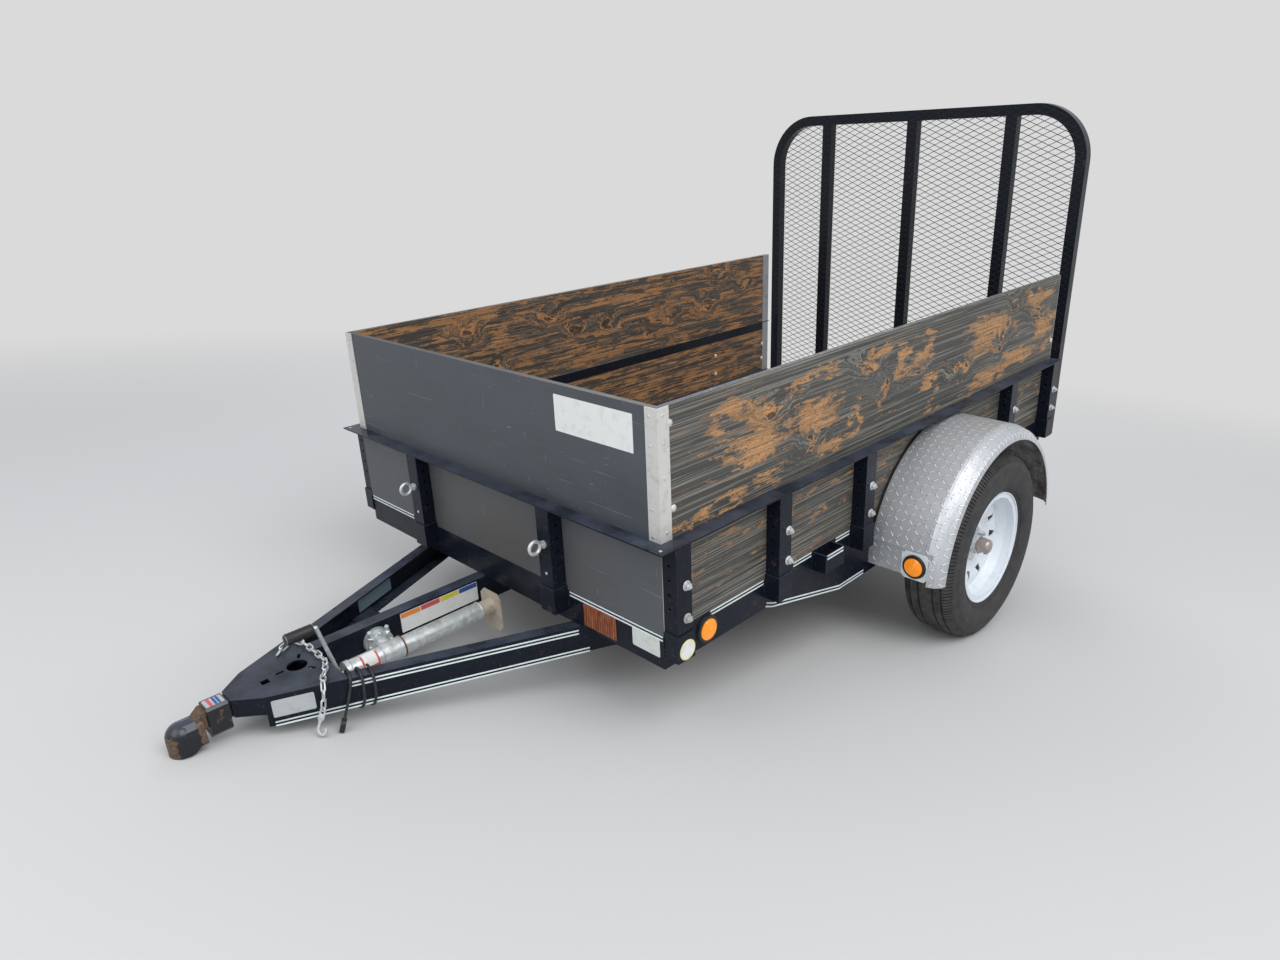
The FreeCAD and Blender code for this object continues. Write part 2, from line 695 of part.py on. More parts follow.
def coupler_head():
    neck = new_body("neck")
    rise = S["head_drop"] - S["head_radius"]
    reach = S["head_at"] - S["head_radius"] + 4
    pad(neck, XZ, -S["neck_half"], S["neck_half"], polygon(
        (S["neck_rear"], 0), (S["neck_front"], 0), (reach, -rise - 8), (reach, -S["socket_drop"] - 8),
        (S["neck_front"], -S["neck_height"]), (S["neck_rear"], -S["neck_height"])))
    head_x = S["head_at"]
    up = Vector(0, 0, 1)
    skirt = cylinder("head_skirt", S["head_radius"], S["head_bottom"] - S["head_drop"],
                     (head_x, ZERO, -S["head_bottom"]), up)
    dome = sphere("head_dome", S["head_radius"], (head_x, ZERO, -S["head_drop"]))
    cheeks = new_body("head_cheeks")
    radius = S["head_radius"]
    centre = -S["head_drop"]
    pad(cheeks, YZ, S["head_at"] - S["nose_length"], S["head_at"], polygon(
        (-radius, -S["head_bottom"] + 14), (-radius, centre), (-radius * 0.87, centre + radius * 0.5),
        (-radius * 0.5, centre + radius * 0.87), (0, centre + radius), (radius * 0.5, centre + radius * 0.87),
        (radius * 0.87, centre + radius * 0.5), (radius, centre), (radius, -S["head_bottom"] + 14)))
    solid = fuse("head_solid", neck, cheeks, skirt, dome)
    bore = cylinder("socket_bore", S["socket_radius"], S["head_bottom"] - S["socket_drop"] + 1,
                    (head_x, ZERO, -S["head_bottom"] - 1), up)
    cup = sphere("socket_cup", S["socket_radius"], (head_x, ZERO, -S["socket_drop"]))
    node(cut("coupler_head", solid, fuse("socket", bore, cup)), "coupler_head")


def coupler_collar():
    body = new_body("coupler_collar")
    gap = S["seat_gap"]
    inner = S["neck_half"] + gap
    outer = inner + S["collar_wall"]
    high = gap + S["collar_wall"]
    pad(body, YZ, S["collar_rear"], S["collar_front"],
        polygon((-outer, -S["collar_bottom"] + 12), (-outer, high - 6), (-outer + 6, high), (outer - 6, high),
                (outer, high - 6), (outer, -S["collar_bottom"] + 12), (outer - 12, -S["collar_bottom"]),
                (-outer + 12, -S["collar_bottom"])),
        rectangle(-inner, inner, -S["neck_height"] - gap, gap))
    node(body, "coupler_collar")


WHEEL_X = S["wheel_rear"] - S["bed_length"]
WHEEL_Z = -S["wheel_drop"]
WHEEL_Y = HALF + S["wheel_out"]
SPRING_Y = HALF - S["spring_inset"]


def wheel_place(side):
    turn = Rotation(Vector(0, 0, 1), 0 if side > 0 else 180)
    return Placement(Vector(WHEEL_X.value, side * WHEEL_Y.value, WHEEL_Z.value), turn)


def tyres():
    half = S["tyre_width"] / 2
    outer = S["tyre_radius"]
    bead = S["bead_radius"] + S["seat_gap"]
    seat = S["rim_width"] / 2 - S["seat_gap"]
    for name, side in SIDES:
        body = new_body(f"tyre_{name}")
        section = polygon(
            (-seat, bead), (-seat, bead + 24), (-half, bead + 80), (-half + 14, outer - 20), (-half + 34, outer),
            (half - 34, outer), (half - 14, outer - 20), (half, bead + 80), (seat, bead + 24), (seat, bead),
            (seat - 14, bead), (half - 22, outer - 34), (22 - half, outer - 34), (14 - seat, bead))
        revolve(body, YZ, 0, (ZERO, ZERO), "H_Axis", [section])
        node(body, f"tyre_{name}", wheel_place(side))


WINDOWS = 10
LUGS = 5


def stud_circle(radius):
    """One circle for each stud of a wheel, in the plane of the wheel."""
    circles = []
    for index in range(LUGS):
        angle = as_size(90 + 360.0 / LUGS * index)
        circles.append(circle(S["stud_ring"] * cosine(angle), S["stud_ring"] * sine(angle), radius))
    return circles


def rims():
    half = S["rim_width"] / 2
    bead = S["bead_radius"]
    wall = S["disc_wall"]
    lip = S["rim_lip"]
    for name, side in SIDES:
        body = new_body(f"rim_{name}")
        barrel = polygon(
            (-half, bead), (-half, lip), (-half - 9, lip), (-half - 9, lip - wall), (-half - wall, lip - wall),
            (-half - wall, bead - wall), (-half + 34, bead - wall), (-24, bead - 20), (10, bead - 20),
            (half - 24, bead - wall), (half + wall, bead - wall), (half + wall, lip - wall),
            (half + 9, lip - wall), (half + 9, lip), (half, lip), (half, bead), (half - 26, bead),
            (12, bead - 20 + wall), (-26, bead - 20 + wall), (-half + 32, bead))
        revolve(body, YZ, 0, (ZERO, ZERO), "H_Axis", [barrel])
        dish = polygon((0, 42), (0, 82), (14, 105), (24, 130), (12, bead - 17), (8, bead - 17),
                       (20, 130), (10, 107), (-4, 84), (-4, 42))
        revolve(body, YZ, 0, (ZERO, ZERO), "H_Axis", [dish])
        windows = []
        for index in range(WINDOWS):
            turn = 360.0 / WINDOWS * index
            corners = []
            for radius, spread in ((110, -7.5), (142, -2.0), (142, 2.0), (110, 7.5)):
                angle = math.radians(turn + spread)
                corners.append((radius * math.cos(angle), radius * math.sin(angle)))
            windows.append(polygon(*corners))
        pocket(body, XZ, -10, 40, *windows)
        pocket(body, XZ, -10, 10, *stud_circle(S["stud_radius"] + S["seat_gap"]))
        node(body, f"rim_{name}", wheel_place(side))


def hubs():
    for name, side in SIDES:
        body = new_body(f"hub_{name}")
        face = -4 - S["seat_gap"]
        bore = S["spindle_radius"] + S["run_gap"]
        profile = polygon(
            (-52, bore), (-52, S["hub_radius"]), (face - 9, S["hub_radius"]), (face - 9, S["hub_flange"]),
            (face, S["hub_flange"]), (face, S["hub_radius"]), (26, S["hub_radius"] - 4),
            (30, 26), (66, 24), (70, 18), (70, 0), (66, 0), (66, bore))
        revolve(body, YZ, 0, (ZERO, ZERO), "H_Axis", [profile])
        pad(body, XZ, face - 12, 26, *stud_circle(S["stud_radius"]))
        pad(body, XZ, S["seat_gap"], 18, *stud_circle(S["nut_radius"]))
        node(body, f"hub_{name}", wheel_place(side))


def leaf(name, level_radius, half_span, sag_centre):
    body = new_body(name)
    half = S["spring_width"] / 2
    wall = S["leaf_wall"]
    angle = 2 * arc_sine(half_span / level_radius)
    section = rectangle(-half, half, -level_radius - wall / 2, -level_radius + wall / 2)
    revolve(body, YZ, 0, (ZERO, sag_centre), "H_Axis", [section], angle, midplane=True)
    return body


SPRING_RADIUS = (S["spring_half"] * S["spring_half"] + S["spring_sag"] * S["spring_sag"]) / (
    2 * S["spring_sag"])
EYE_OFFSET = (S["eye_radius"] + S["eye_bolt_radius"]) / 2
MAIN_LEVEL = -S["eye_drop"] - EYE_OFFSET - S["spring_sag"]
PACK_BOTTOM = MAIN_LEVEL - 2.5 * S["leaf_wall"] - 2 * S["seat_gap"]


def leaf_springs():
    centre = MAIN_LEVEL + SPRING_RADIUS
    packs = []
    for name, side in SIDES:
        main = leaf(f"main_leaf_{name}", SPRING_RADIUS, S["spring_half"], centre)
        step = S["leaf_wall"] + S["seat_gap"]
        second = leaf(f"second_leaf_{name}", SPRING_RADIUS + step, S["spring_half"] * 0.72, centre)
        third = leaf(f"third_leaf_{name}", SPRING_RADIUS + 2 * step, S["spring_half"] * 0.44, centre)
        half = S["spring_width"] / 2
        eyes = []
        for end in (1, -1):
            eye = new_body(f"eye_{name}_{end + 2}")
            at = (end * S["spring_half"], -S["eye_drop"])
            pad(eye, XZ, -half, half, circle(*at, S["eye_radius"]),
                circle(*at, S["eye_bolt_radius"] + S["seat_gap"]))
            eyes.append(eye)
        bolt = cylinder(f"centre_bolt_{name}", 5, MAIN_LEVEL - PACK_BOTTOM - 2,
                        (ZERO, ZERO, PACK_BOTTOM + 2), Vector(0, 0, 1))
        pack = fuse(f"spring_{name}", main, second, third, bolt, *eyes)
        pack.Placement = Placement(Vector(WHEEL_X.value, side * SPRING_Y.value, 0), Rotation())
        packs.append(pack)
    node(gather("leaf_springs", packs), "leaf_springs")


HANGER_BOLT = 5.0


def spring_hangers():
    hangers = []
    wall = S["hanger_wall"]
    gap = S["seat_gap"]
    half = S["spring_width"] / 2 + 2 * gap
    for name, side in SIDES:
        line = side * SPRING_Y
        for end in (1, -1):
            x = WHEEL_X + end * S["spring_half"]
            body = new_body(f"hanger_{name}_{end + 2}")
            section = polygon(
                (line - half - wall, -S["hanger_drop"]), (line - half - wall, 0), (line + half + wall, 0),
                (line + half + wall, -S["hanger_drop"]), (line + half, -S["hanger_drop"]), (line + half, -wall),
                (line - half, -wall), (line - half, -S["hanger_drop"]))
            pad(body, YZ, x - S["hanger_half"], x + S["hanger_half"], section)
            pin = cylinder(f"hanger_bolt_{name}_{end + 2}", S["eye_bolt_radius"], 2 * (half + wall + HANGER_BOLT),
                           (x, line + half + wall + HANGER_BOLT, -S["eye_drop"]), Vector(0, -1, 0))
            hangers.append(fuse(f"hanger_set_{name}_{end + 2}", body, pin))
    node(gather("spring_hangers", hangers), "spring_hangers")


def side_plates():
    plates = []
    thick = S["rail_wall"]
    drop = -S["side_plate_drop"]
    notch = S["axle_radius"] + 22
    for name, side in SIDES:
        body = new_body(f"side_plate_{name}")
        low, high = side_span(side, HALF - thick, HALF)
        pad(body, XZ, low, high, polygon(
            (WHEEL_X + S["side_plate_front"], 0), (WHEEL_X + S["side_plate_knee"], drop),
            (WHEEL_X + notch, drop), (WHEEL_X + notch, drop + 62), (WHEEL_X - notch, drop + 62),
            (WHEEL_X - notch, drop), (WHEEL_X - S["side_plate_back"], drop),
            (WHEEL_X - S["side_plate_end"], 0)))
        plates.append(body)
    node(gather("side_plates", plates), "side_plates")


def axle():
    y = WHEEL_Y - 62
    tube = cylinder("axle_tube", S["axle_radius"], 2 * y, (WHEEL_X, y, WHEEL_Z), Vector(0, -1, 0))
    tip = WHEEL_Y + 60
    spindle = cylinder("spindle", S["spindle_radius"], 2 * tip, (WHEEL_X, tip, WHEEL_Z), Vector(0, -1, 0))
    items = [tube, spindle]
    for name, side in SIDES:
        seat = new_body(f"spring_seat_{name}")
        line = side * SPRING_Y
        half = S["spring_width"] / 2
        pad(seat, XY, WHEEL_Z, PACK_BOTTOM - S["seat_gap"],
            rectangle(WHEEL_X - 45, WHEEL_X + 45, line - half, line + half))
        items.append(seat)
    node(fuse("axle", *items), "axle")


def axle_clamps():
    """Bolts bent round the axle tube, drawn up to a plate on top of each spring."""
    items = []
    wire = S["clamp_wire"]
    reach = S["axle_radius"] + wire + S["seat_gap"]
    apart = S["spring_width"] / 2 + wire + S["seat_gap"]
    nut = S["clamp_nut"]
    level = MAIN_LEVEL + S["leaf_wall"] / 2 + 1
    for name, side in SIDES:
        line = side * SPRING_Y
        plate = new_body(f"clamp_plate_{name}")
        pad(plate, XY, level, level + S["clamp_plate"], rectangle(
            WHEEL_X - reach - 14, WHEEL_X + reach + 14, line - apart - nut, line + apart + nut))
        pieces = [plate]
        for title, across in (("inner", line - apart), ("outer", line + apart)):
            bend = new_body(f"clamp_bend_{name}_{title}")
            revolve(bend, XY, WHEEL_Z, (WHEEL_X, across), "V_Axis", [circle(reach, 0, wire)], 180.0)
            pieces.append(bend)
            for end in (-1, 1):
                x = WHEEL_X + end * reach
                pieces.append(cylinder(f"clamp_leg_{name}_{title}_{end + 2}", wire, level + S["clamp_rise"] - WHEEL_Z,
                                       (x, across, WHEEL_Z), Vector(0, 0, 1)))
                pieces.append(cylinder(f"clamp_nut_{name}_{title}_{end + 2}", nut, 8,
                                       (x, across, level + S["clamp_plate"]), Vector(0, 0, 1)))
        items.append(fuse(f"axle_clamp_{name}", *pieces))
    node(gather("axle_clamps", items), "axle_clamps")


def fenders():
    wall = S["fender_wall"]
    crown = S["fender_radius"]
    for name, side in SIDES:
        body = new_body(f"fender_{name}")
        near = HALF + S["seat_gap"]
        far = HALF + S["fender_width"]
        corners = ((near, crown), (far - 56, crown - 3), (far - 22, crown - 14), (far - 4, crown - 32),
                   (far, crown - 50), (far - wall, crown - 50), (far - wall - 4, crown - 34),
                   (far - 24, crown - 17), (far - 57, crown - 3 - wall), (near, crown - wall))
        profile = polygon(*[(side * u, v) for u, v in corners])
        middle = (ZERO, WHEEL_Z)
        revolve(body, YZ, WHEEL_X, middle, "H_Axis", [profile], S["fender_front"])
        revolve(body, YZ, WHEEL_X, middle, "H_Axis", [profile], S["fender_rear"], reverse=True)
        band = far - S["lip_depth"]
        lip = ((band, crown - 3), (far - 22, crown - 14), (far - 4, crown - 32), (far, crown - 50),
               (far - wall, crown - 50), (far - wall - 4, crown - 34), (far - 24, crown - 17), (band, crown - 3 - wall))
        lip_profile = polygon(*[(side * u, v) for u, v in lip])
        revolve(body, YZ, WHEEL_X, middle, "H_Axis", [lip_profile], S["lip_front"])
        edge = WHEEL_X + (crown - wall) * sine(S["fender_front"])
        top = WHEEL_Z + crown * cosine(S["fender_front"])
        low, high = side_span(side, near, band + 10)
        pad(body, XY, top - S["apron_height"], top + 2,
            rectangle(edge - 0.5, edge - 0.5 + wall, low, high))
        node(body, f"fender_{name}")


APRON_FACE = WHEEL_X + (S["fender_radius"] - S["fender_wall"]) * sine(S["fender_front"]) + S["fender_wall"] - 0.5
PLATE_FACE = APRON_FACE + S["seat_gap"] + S["fender_wall"]
RAIL_LAMP_X = as_size(-170)
LAMP_Y = HALF + S["lamp_out"]


def lamp_form(name, place, direction, profile):
    """A round form made along a direction from a profile of radius and height."""
    body = new_body(name)
    revolve(body, XZ, 0, (ZERO, ZERO), "V_Axis", [polygon(*profile)])
    item = gather(f"{name}_placed", [body])
    item.Placement = Placement(Vector(), Rotation(Vector(0, 0, 1), direction))
    for letter, size in zip("xyz", place):
        bind(item, f"Placement.Base.{letter}", size)
    return item


def marker_lamps():
    lamps = []
    rings = []
    radius = S["lamp_radius"]
    depth = S["lamp_depth"]
    outer = S["grommet_radius"]
    lens = ((0, S["seat_gap"]), (radius, S["seat_gap"]), (radius, depth * 0.6), (radius * 0.8, depth * 0.9),
            (radius * 0.4, depth), (0, depth))
    inner = radius + S["seat_gap"]
    grommet = ((inner, S["seat_gap"]), (outer, S["seat_gap"]), (outer - 2, S["grommet_depth"] - 2),
               (inner + 2, S["grommet_depth"]), (inner, S["grommet_depth"] - 1))
    for name, side in SIDES:
        places = (
            ("rail", (RAIL_LAMP_X, side * HALF, S["rail_height"] / 2), Vector(0, side, 0)),
            ("fender", (PLATE_FACE, side * LAMP_Y, S["lamp_level"]), Vector(1, 0, 0)),
        )
        for title, place, direction in places:
            lamps.append(lamp_form(f"{title}_lamp_{name}", place, direction, lens))
            rings.append(lamp_form(f"{title}_grommet_{name}", place, direction, grommet))
    node(gather("marker_lamps", lamps), "marker_lamps")
    node(gather("lamp_grommets", rings), "lamp_grommets")


def lamp_plates():
    plates = []
    half = S["lamp_plate"] / 2
    corner = 12
    for name, side in SIDES:
        body = new_body(f"lamp_plate_{name}")
        y = side * LAMP_Y
        low = S["lamp_level"] - half
        high = S["lamp_level"] + half
        pad(body, YZ, APRON_FACE + S["seat_gap"], PLATE_FACE, polygon(
            (y - half, low + corner), (y - half, high - corner), (y - half + corner, high), (y + half - corner, high),
            (y + half, high - corner), (y + half, low + corner), (y + half - corner, low), (y - half + corner, low)))
        plates.append(body)
    node(gather("lamp_plates", plates), "lamp_plates")


def tail_lamps():
    lamps = []
    for name, side in SIDES:
        body = new_body(f"tail_lamp_{name}")
        middle = side * (HALF - 90)
        pad(body, YZ, -S["bed_length"] - S["seat_gap"] - 14, -S["bed_length"] - S["seat_gap"],
            rectangle(middle - 75, middle + 75, S["rail_height"] / 2 - 26, S["rail_height"] / 2 + 26))
        lamps.append(body)
    node(gather("tail_lamps", lamps), "tail_lamps")


GATE_FACE = -S["bed_length"] - S["gate_gap"]
HINGE_X = -S["bed_length"] - S["hinge_back"]


GATE_HALF = HALF + S["gate_overhang"]


def gate_frame():
    body = new_body("gate_frame")
    tube = S["gate_tube"]
    half = GATE_HALF
    top = S["gate_top"]
    corner = S["gate_corner"]
    face = GATE_FACE
    back = face - tube
    pad(body, XY, 0, tube, rectangle(back, face, tube - half, half - tube))
    for side in (1, -1):
        low, high = side_span(side, half - tube, half)
        pad(body, XY, 0, top - corner, rectangle(back, face, low, high))
        ring = rectangle(back, face, side * (corner - tube), side * corner)
        revolve(body, XY, top - corner, (ZERO, side * (half - corner)), "H_Axis", [ring], 90.0,
                reverse=side < 0)
    pad(body, XZ, corner - half, half - corner, rectangle(back, face, top - tube, top))
    barrel_back = HINGE_X - S["hinge_barrel"] + 3
    for side in (1, -1):
        middle = side * (HALF - S["hinge_inset"])
        half_length = S["hinge_half"]
        ring = circle(HINGE_X, S["hinge_level"], S["hinge_barrel"])
        pad(body, XZ, middle - half_length, middle + half_length,
            rectangle(face, barrel_back, S["hinge_level"] - 6, S["hinge_level"] + 6))
        pad(body, XZ, middle - half_length, middle + half_length, ring)
    bore = circle(HINGE_X, S["hinge_level"], S["hinge_pin"] + S["run_gap"])
    pocket(body, XZ, -half, half, bore)
    node(body, "gate_frame")


def gate_bars():
    bars = []
    tube = S["gate_tube"]
    gap = S["seat_gap"]
    for title, across in (("right", -S["gate_bar_at"]), ("middle", ZERO), ("left", S["gate_bar_at"])):
        body = new_body(f"gate_bar_{title}")
        half = S["gate_bar"] / 2
        pad(body, XY, tube, S["gate_top"] - tube,
            rectangle(GATE_FACE - tube + 3, GATE_FACE, across - half, across + half))
        bars.append(body)
    node(gather("gate_bars", bars), "gate_bars")


def clip_to_gate(point, slope, half, low, high, corner):
    """Ends of a strand through a point, inside the gate's outline with its rounded corners."""
    steps = 800
    inside = []
    for step in range(-steps, steps + 1):
        y = point[0] + step * 2.0
        z = point[1] + step * 2.0 * slope
        if abs(y) > half or z < low or z > high:
            continue
        dy = abs(y) - (half - corner)
        dz = z - (high - corner)
        if dy > 0 and dz > 0 and math.hypot(dy, dz) > corner:
            continue
        inside.append((y, z))
    return (inside[0], inside[-1]) if len(inside) > 12 else None


def strand(start, end, back, front, width):
    direction = Vector(0, end[0] - start[0], end[1] - start[1]).normalize()
    across = Vector(0, -direction.z, direction.y) * (width / 2)
    a = Vector(back, *start)
    b = Vector(back, *end)
    outline = Part.makePolygon([a - across, b - across, b + across, a + across, a - across])
    return Part.Face(outline).extrude(Vector(front - back, 0, 0))


def gate_mesh():
    margin = 8.0
    half = GATE_HALF.value - margin
    low = sheet.hinge_level + 2 * margin
    high = sheet.gate_top - margin
    corner = sheet.gate_corner - margin
    slope = sheet.mesh_short / sheet.mesh_long
    first = GATE_FACE.value + sheet.seat_gap
    second = first + sheet.mesh_wall + sheet.seat_gap
    rise = half * slope
    count = int((high - low + 2 * rise) / sheet.mesh_short)
    strands = []
    for tilt, back in ((slope, first), (-slope, second)):
        for index in range(count + 1):
            middle = (0.0, low - rise + index * sheet.mesh_short)
            ends = clip_to_gate(middle, tilt, half, low, high, corner)
            if ends:
                strands.append(strand(*ends, back, back + sheet.mesh_wall, sheet.mesh_strand))
    item = doc.addObject("Part::Feature", "gate_mesh")
    item.Shape = Part.makeCompound(strands)
    node(item, "gate_mesh")


def gate_hinges():
    lugs = []
    gap = S["seat_gap"]
    for name, side in SIDES:
        middle = side * (HALF - S["hinge_inset"])
        start = S["hinge_half"] + gap
        end = start + S["hinge_lug"]
        parts = []
        for tag, low, high in (("near", -end, -start), ("far", start, end)):
            body = new_body(f"hinge_lug_{name}_{tag}")
            pad(body, XZ, middle + low, middle + high, polygon(
                (-S["bed_length"], S["hinge_level"] - 8), (-S["bed_length"], S["hinge_level"] + 20),
                (HINGE_X, S["hinge_level"] + 12), (HINGE_X - 12, S["hinge_level"]),
                (HINGE_X, S["hinge_level"] - 12)))
            parts.append(body)
        pin = cylinder(f"hinge_pin_{name}", S["hinge_pin"], 2 * end,
                       (HINGE_X, middle + end, S["hinge_level"]), Vector(0, -1, 0))
        lugs.append(fuse(f"hinge_{name}", pin, *parts))
    node(gather("gate_hinges", lugs), "gate_hinges")


JACK_Z = -S["jack_drop"]


def jack_mount():
    face = -S["centre_web"]
    body = new_body("jack_mount")
    pad(body, XZ, face, face + S["swivel_wall"], circle(S["swivel_at"], JACK_Z, S["swivel_radius"]))
    node(body, "jack_mount")


def jack_outer():
    body = new_body("jack_outer")
    centre = (S["jack_line"], JACK_Z)
    bore = S["jack_outer"] - S["jack_wall"]
    pad(body, YZ, S["jack_rear"], S["jack_front"], circle(*centre, S["jack_outer"]), circle(*centre, bore))
    pad(body, YZ, S["jack_front"], S["jack_front"] + 14, circle(*centre, S["jack_outer"] + 2))
    pad(body, YZ, S["swivel_at"] - S["sleeve_half"], S["swivel_at"] + S["sleeve_half"],
        circle(*centre, S["jack_outer"] + S["sleeve_wall"]), circle(*centre, S["jack_outer"] - 1))
    disc_start = S["swivel_wall"] + S["seat_gap"] - S["centre_web"]
    wall_y = S["jack_line"] - S["jack_outer"] + 2
    at = (S["swivel_at"], JACK_Z)
    pad(body, XZ, disc_start, disc_start + 12, circle(*at, S["swivel_radius"] - 2))
    pad(body, XZ, disc_start + 12, wall_y, circle(*at, 22))
    node(body, "jack_outer")


def jack_crank():
    y = S["jack_line"]
    base = S["jack_front"] + 14
    knee = base + 16
    rod = S["crank_radius"]
    stub = cylinder("crank_stub", rod, knee - base, (base, y, JACK_Z), Vector(1, 0, 0))
    rise = S["crank_rise"]
    lean = S["crank_lean"]
    length = math.hypot(rise.value, lean.value)
    arm = cylinder("crank_arm", rod, length, (knee, y, JACK_Z), Vector(lean.value, 0, rise.value))
    elbow = sphere("crank_elbow", rod, (knee, y, JACK_Z))
    wrist = sphere("crank_wrist", rod, (knee + lean, y, JACK_Z + rise))
    spindle = cylinder("crank_spindle", rod, as_size(10), (knee + lean, y, JACK_Z + rise), Vector(1, 0, 0))
    grip = cylinder("crank_grip", S["grip_radius"], S["grip_length"],
                    (knee + lean + 9, y, JACK_Z + rise), Vector(1, 0, 0))
    node(fuse("jack_crank", stub, arm, elbow, wrist, spindle, grip), "jack_crank")


def jack_foot():
    body = new_body("jack_foot")
    centre = (S["jack_line"], JACK_Z)
    face = S["foot_at"]
    front = face + S["foot_wall"]
    half = S["foot_width"] / 2
    low = JACK_Z - S["foot_fall"]
    high = JACK_Z + S["foot_rise"]
    y = S["jack_line"]
    corner = 18
    pad(body, YZ, face, front, polygon(
        (y - half, low + corner), (y - half, high - corner), (y - half + corner, high), (y + half - corner, high),
        (y + half, high - corner), (y + half, low + corner), (y + half - corner, low), (y - half + corner, low)))
    pad(body, YZ, front, S["jack_front"] - 30, circle(*centre, S["jack_inner"]))
    node(body, "jack_foot")


def eye_bolts():
    eyes = []
    for name, side in SIDES:
        y = side * S["front_upright"]
        face = S["mid_reach"] + S["seat_gap"]
        shank = cylinder(f"eye_shank_{name}", S["eye_wire"], 16, (face, y, S["eye_level"]), Vector(1, 0, 0))
        collar = cylinder(f"eye_collar_{name}", 12, 6, (face, y, S["eye_level"]), Vector(1, 0, 0))
        ring = doc.addObject("Part::Torus", f"eye_ring_{name}")
        bind(ring, "Radius1", S["eye_ring"])
        bind(ring, "Radius2", S["eye_wire"])
        ring.Placement = Placement(Vector(), Rotation(Vector(1, 0, 0), 90))
        bind(ring, "Placement.Base.x", face + 14 + S["eye_ring"])
        bind(ring, "Placement.Base.y", y)
        bind(ring, "Placement.Base.z", S["eye_level"])
        eyes.append(fuse(f"eye_{name}", shank, collar, ring))
    node(gather("eye_bolts", eyes), "eye_bolts")


CHAIN_ROUTE = (
    # x, distance from the centre line, height: where neighbouring links meet
    (690.0, -79.0, 14.9),
    (672.0, -99.0, 14.9),
    (649.0, -113.0, 14.9),
    (622.0, -111.0, 14.9),
    (613.0, -85.4, 14.9),
    (611.0, -58.5, 14.9),
    (611.0, -31.5, 14.9),
    (611.0, -4.5, 14.9),
    (611.0, 22.5, 14.9),
    (612.8, 49.4, 14.9),
    (621.5, 75.0, 14.9),
    (635.5, 98.2, 14.9),
    (650.0, 121.0, 14.9),
    (664.5, 145.6, 16.6),
    (674.0, 162.6, -3.6),
    (677.0, 158.0, -32.0),
    (681.0, 156.0, -58.0),
    (689.0, 152.0, -83.0),
)
HOOK_RUN = (16.0, -5.0, -42.0)


def laid_along(body, start, direction, roll):
    """Places a body that is drawn along X so that it runs along a direction."""
    run = Vector(*direction).normalize()
    across = Vector(0, 0, 1).cross(run).normalize()
    lift = run.cross(across)
    matrix = FreeCAD.Matrix(run.x, across.x, lift.x, 0, run.y, across.y, lift.y, 0,
                            run.z, across.z, lift.z, 0, 0, 0, 0, 1)
    turn = Placement(matrix).Rotation.multiply(Rotation(Vector(1, 0, 0), roll))
    body.Placement = Placement(Vector(*start), turn)


def safety_chain():
    """Links from meeting point to meeting point, each rolled a quarter turn from the last."""
    bar = S["chain_bar"]
    half = S["chain_inner"] / 2
    out = half + bar
    wide = S["chain_width"] / 2
    inner = wide - bar
    cut_out = 5
    cut_in = 2
    pieces = []
    for index, (start, end) in enumerate(zip(CHAIN_ROUTE, CHAIN_ROUTE[1:])):
        start, end = Vector(*start), Vector(*end)
        body = new_body(f"link_{index + 1}")
        pad(body, XY, -bar / 2, bar / 2,
            polygon((-out, cut_out - wide), (-out, wide - cut_out), (cut_out - out, wide), (out - cut_out, wide),
                    (out, wide - cut_out), (out, cut_out - wide), (out - cut_out, -wide), (cut_out - out, -wide)),
            polygon((-half, cut_in - inner), (-half, inner - cut_in), (cut_in - half, inner),
                    (half - cut_in, inner), (half, inner - cut_in), (half, cut_in - inner),
                    (half - cut_in, -inner), (cut_in - half, -inner)))
        laid_along(body, (start + end) / 2, end - start, 45 if index % 2 else -45)
        pieces.append(body)
    hook = new_body("hook")
    wall = S["hook_wall"]
    pad(hook, XY, -wall / 2, wall / 2,
        polygon((-10, -5), (-6, -9), (6, -9), (12, -4), (34, -4), (44, 0), (50, 8), (50, 16), (44, 24), (34, 28),
                (24, 26), (22, 20), (34, 20), (39, 18), (42, 14), (42, 10), (39, 6), (34, 4), (12, 4), (6, 9),
                (-6, 9), (-10, 5)),
        polygon((-4.5, -2), (-2, -4.5), (2, -4.5), (4.5, -2), (4.5, 2), (2, 4.5), (-2, 4.5), (-4.5, 2)))
    laid_along(hook, CHAIN_ROUTE[-1], HOOK_RUN, -45)
    pieces.append(hook)
    node(fuse("safety_chain", *pieces), "safety_chain")


LEAD_ROUTE = (
    # x, distance outside the near leg's outer face, height
    (20.0, -22.0, -74.0),
    (120.0, -27.0, -79.0),
    (228.0, -21.0, -76.0),
    (335.0, -27.0, -79.0),
    (440.0, -23.0, -70.0),
    (512.0, -50.0, -48.0),
    (540.0, -53.0, 12.0),
    (547.0, 12.0, 12.0),
    (553.0, 12.0, -102.0),
    (560.0, -52.0, -102.0),
    (566.0, -53.0, 12.0),
    (574.0, 12.0, 13.0),
    (581.0, 12.0, -102.0),
    (587.0, -52.0, -102.0),
    (590.0, -53.0, 13.0),
    (602.0, 20.0, 20.0),
    (619.0, 18.0, -54.0),
    (636.0, 15.0, -112.0),
)


def lead_points():
    slant = math.cos(math.radians(sheet.leg_angle))
    return [Vector(x, leg_face(x).value + out / slant, z) for x, out, z in LEAD_ROUTE]


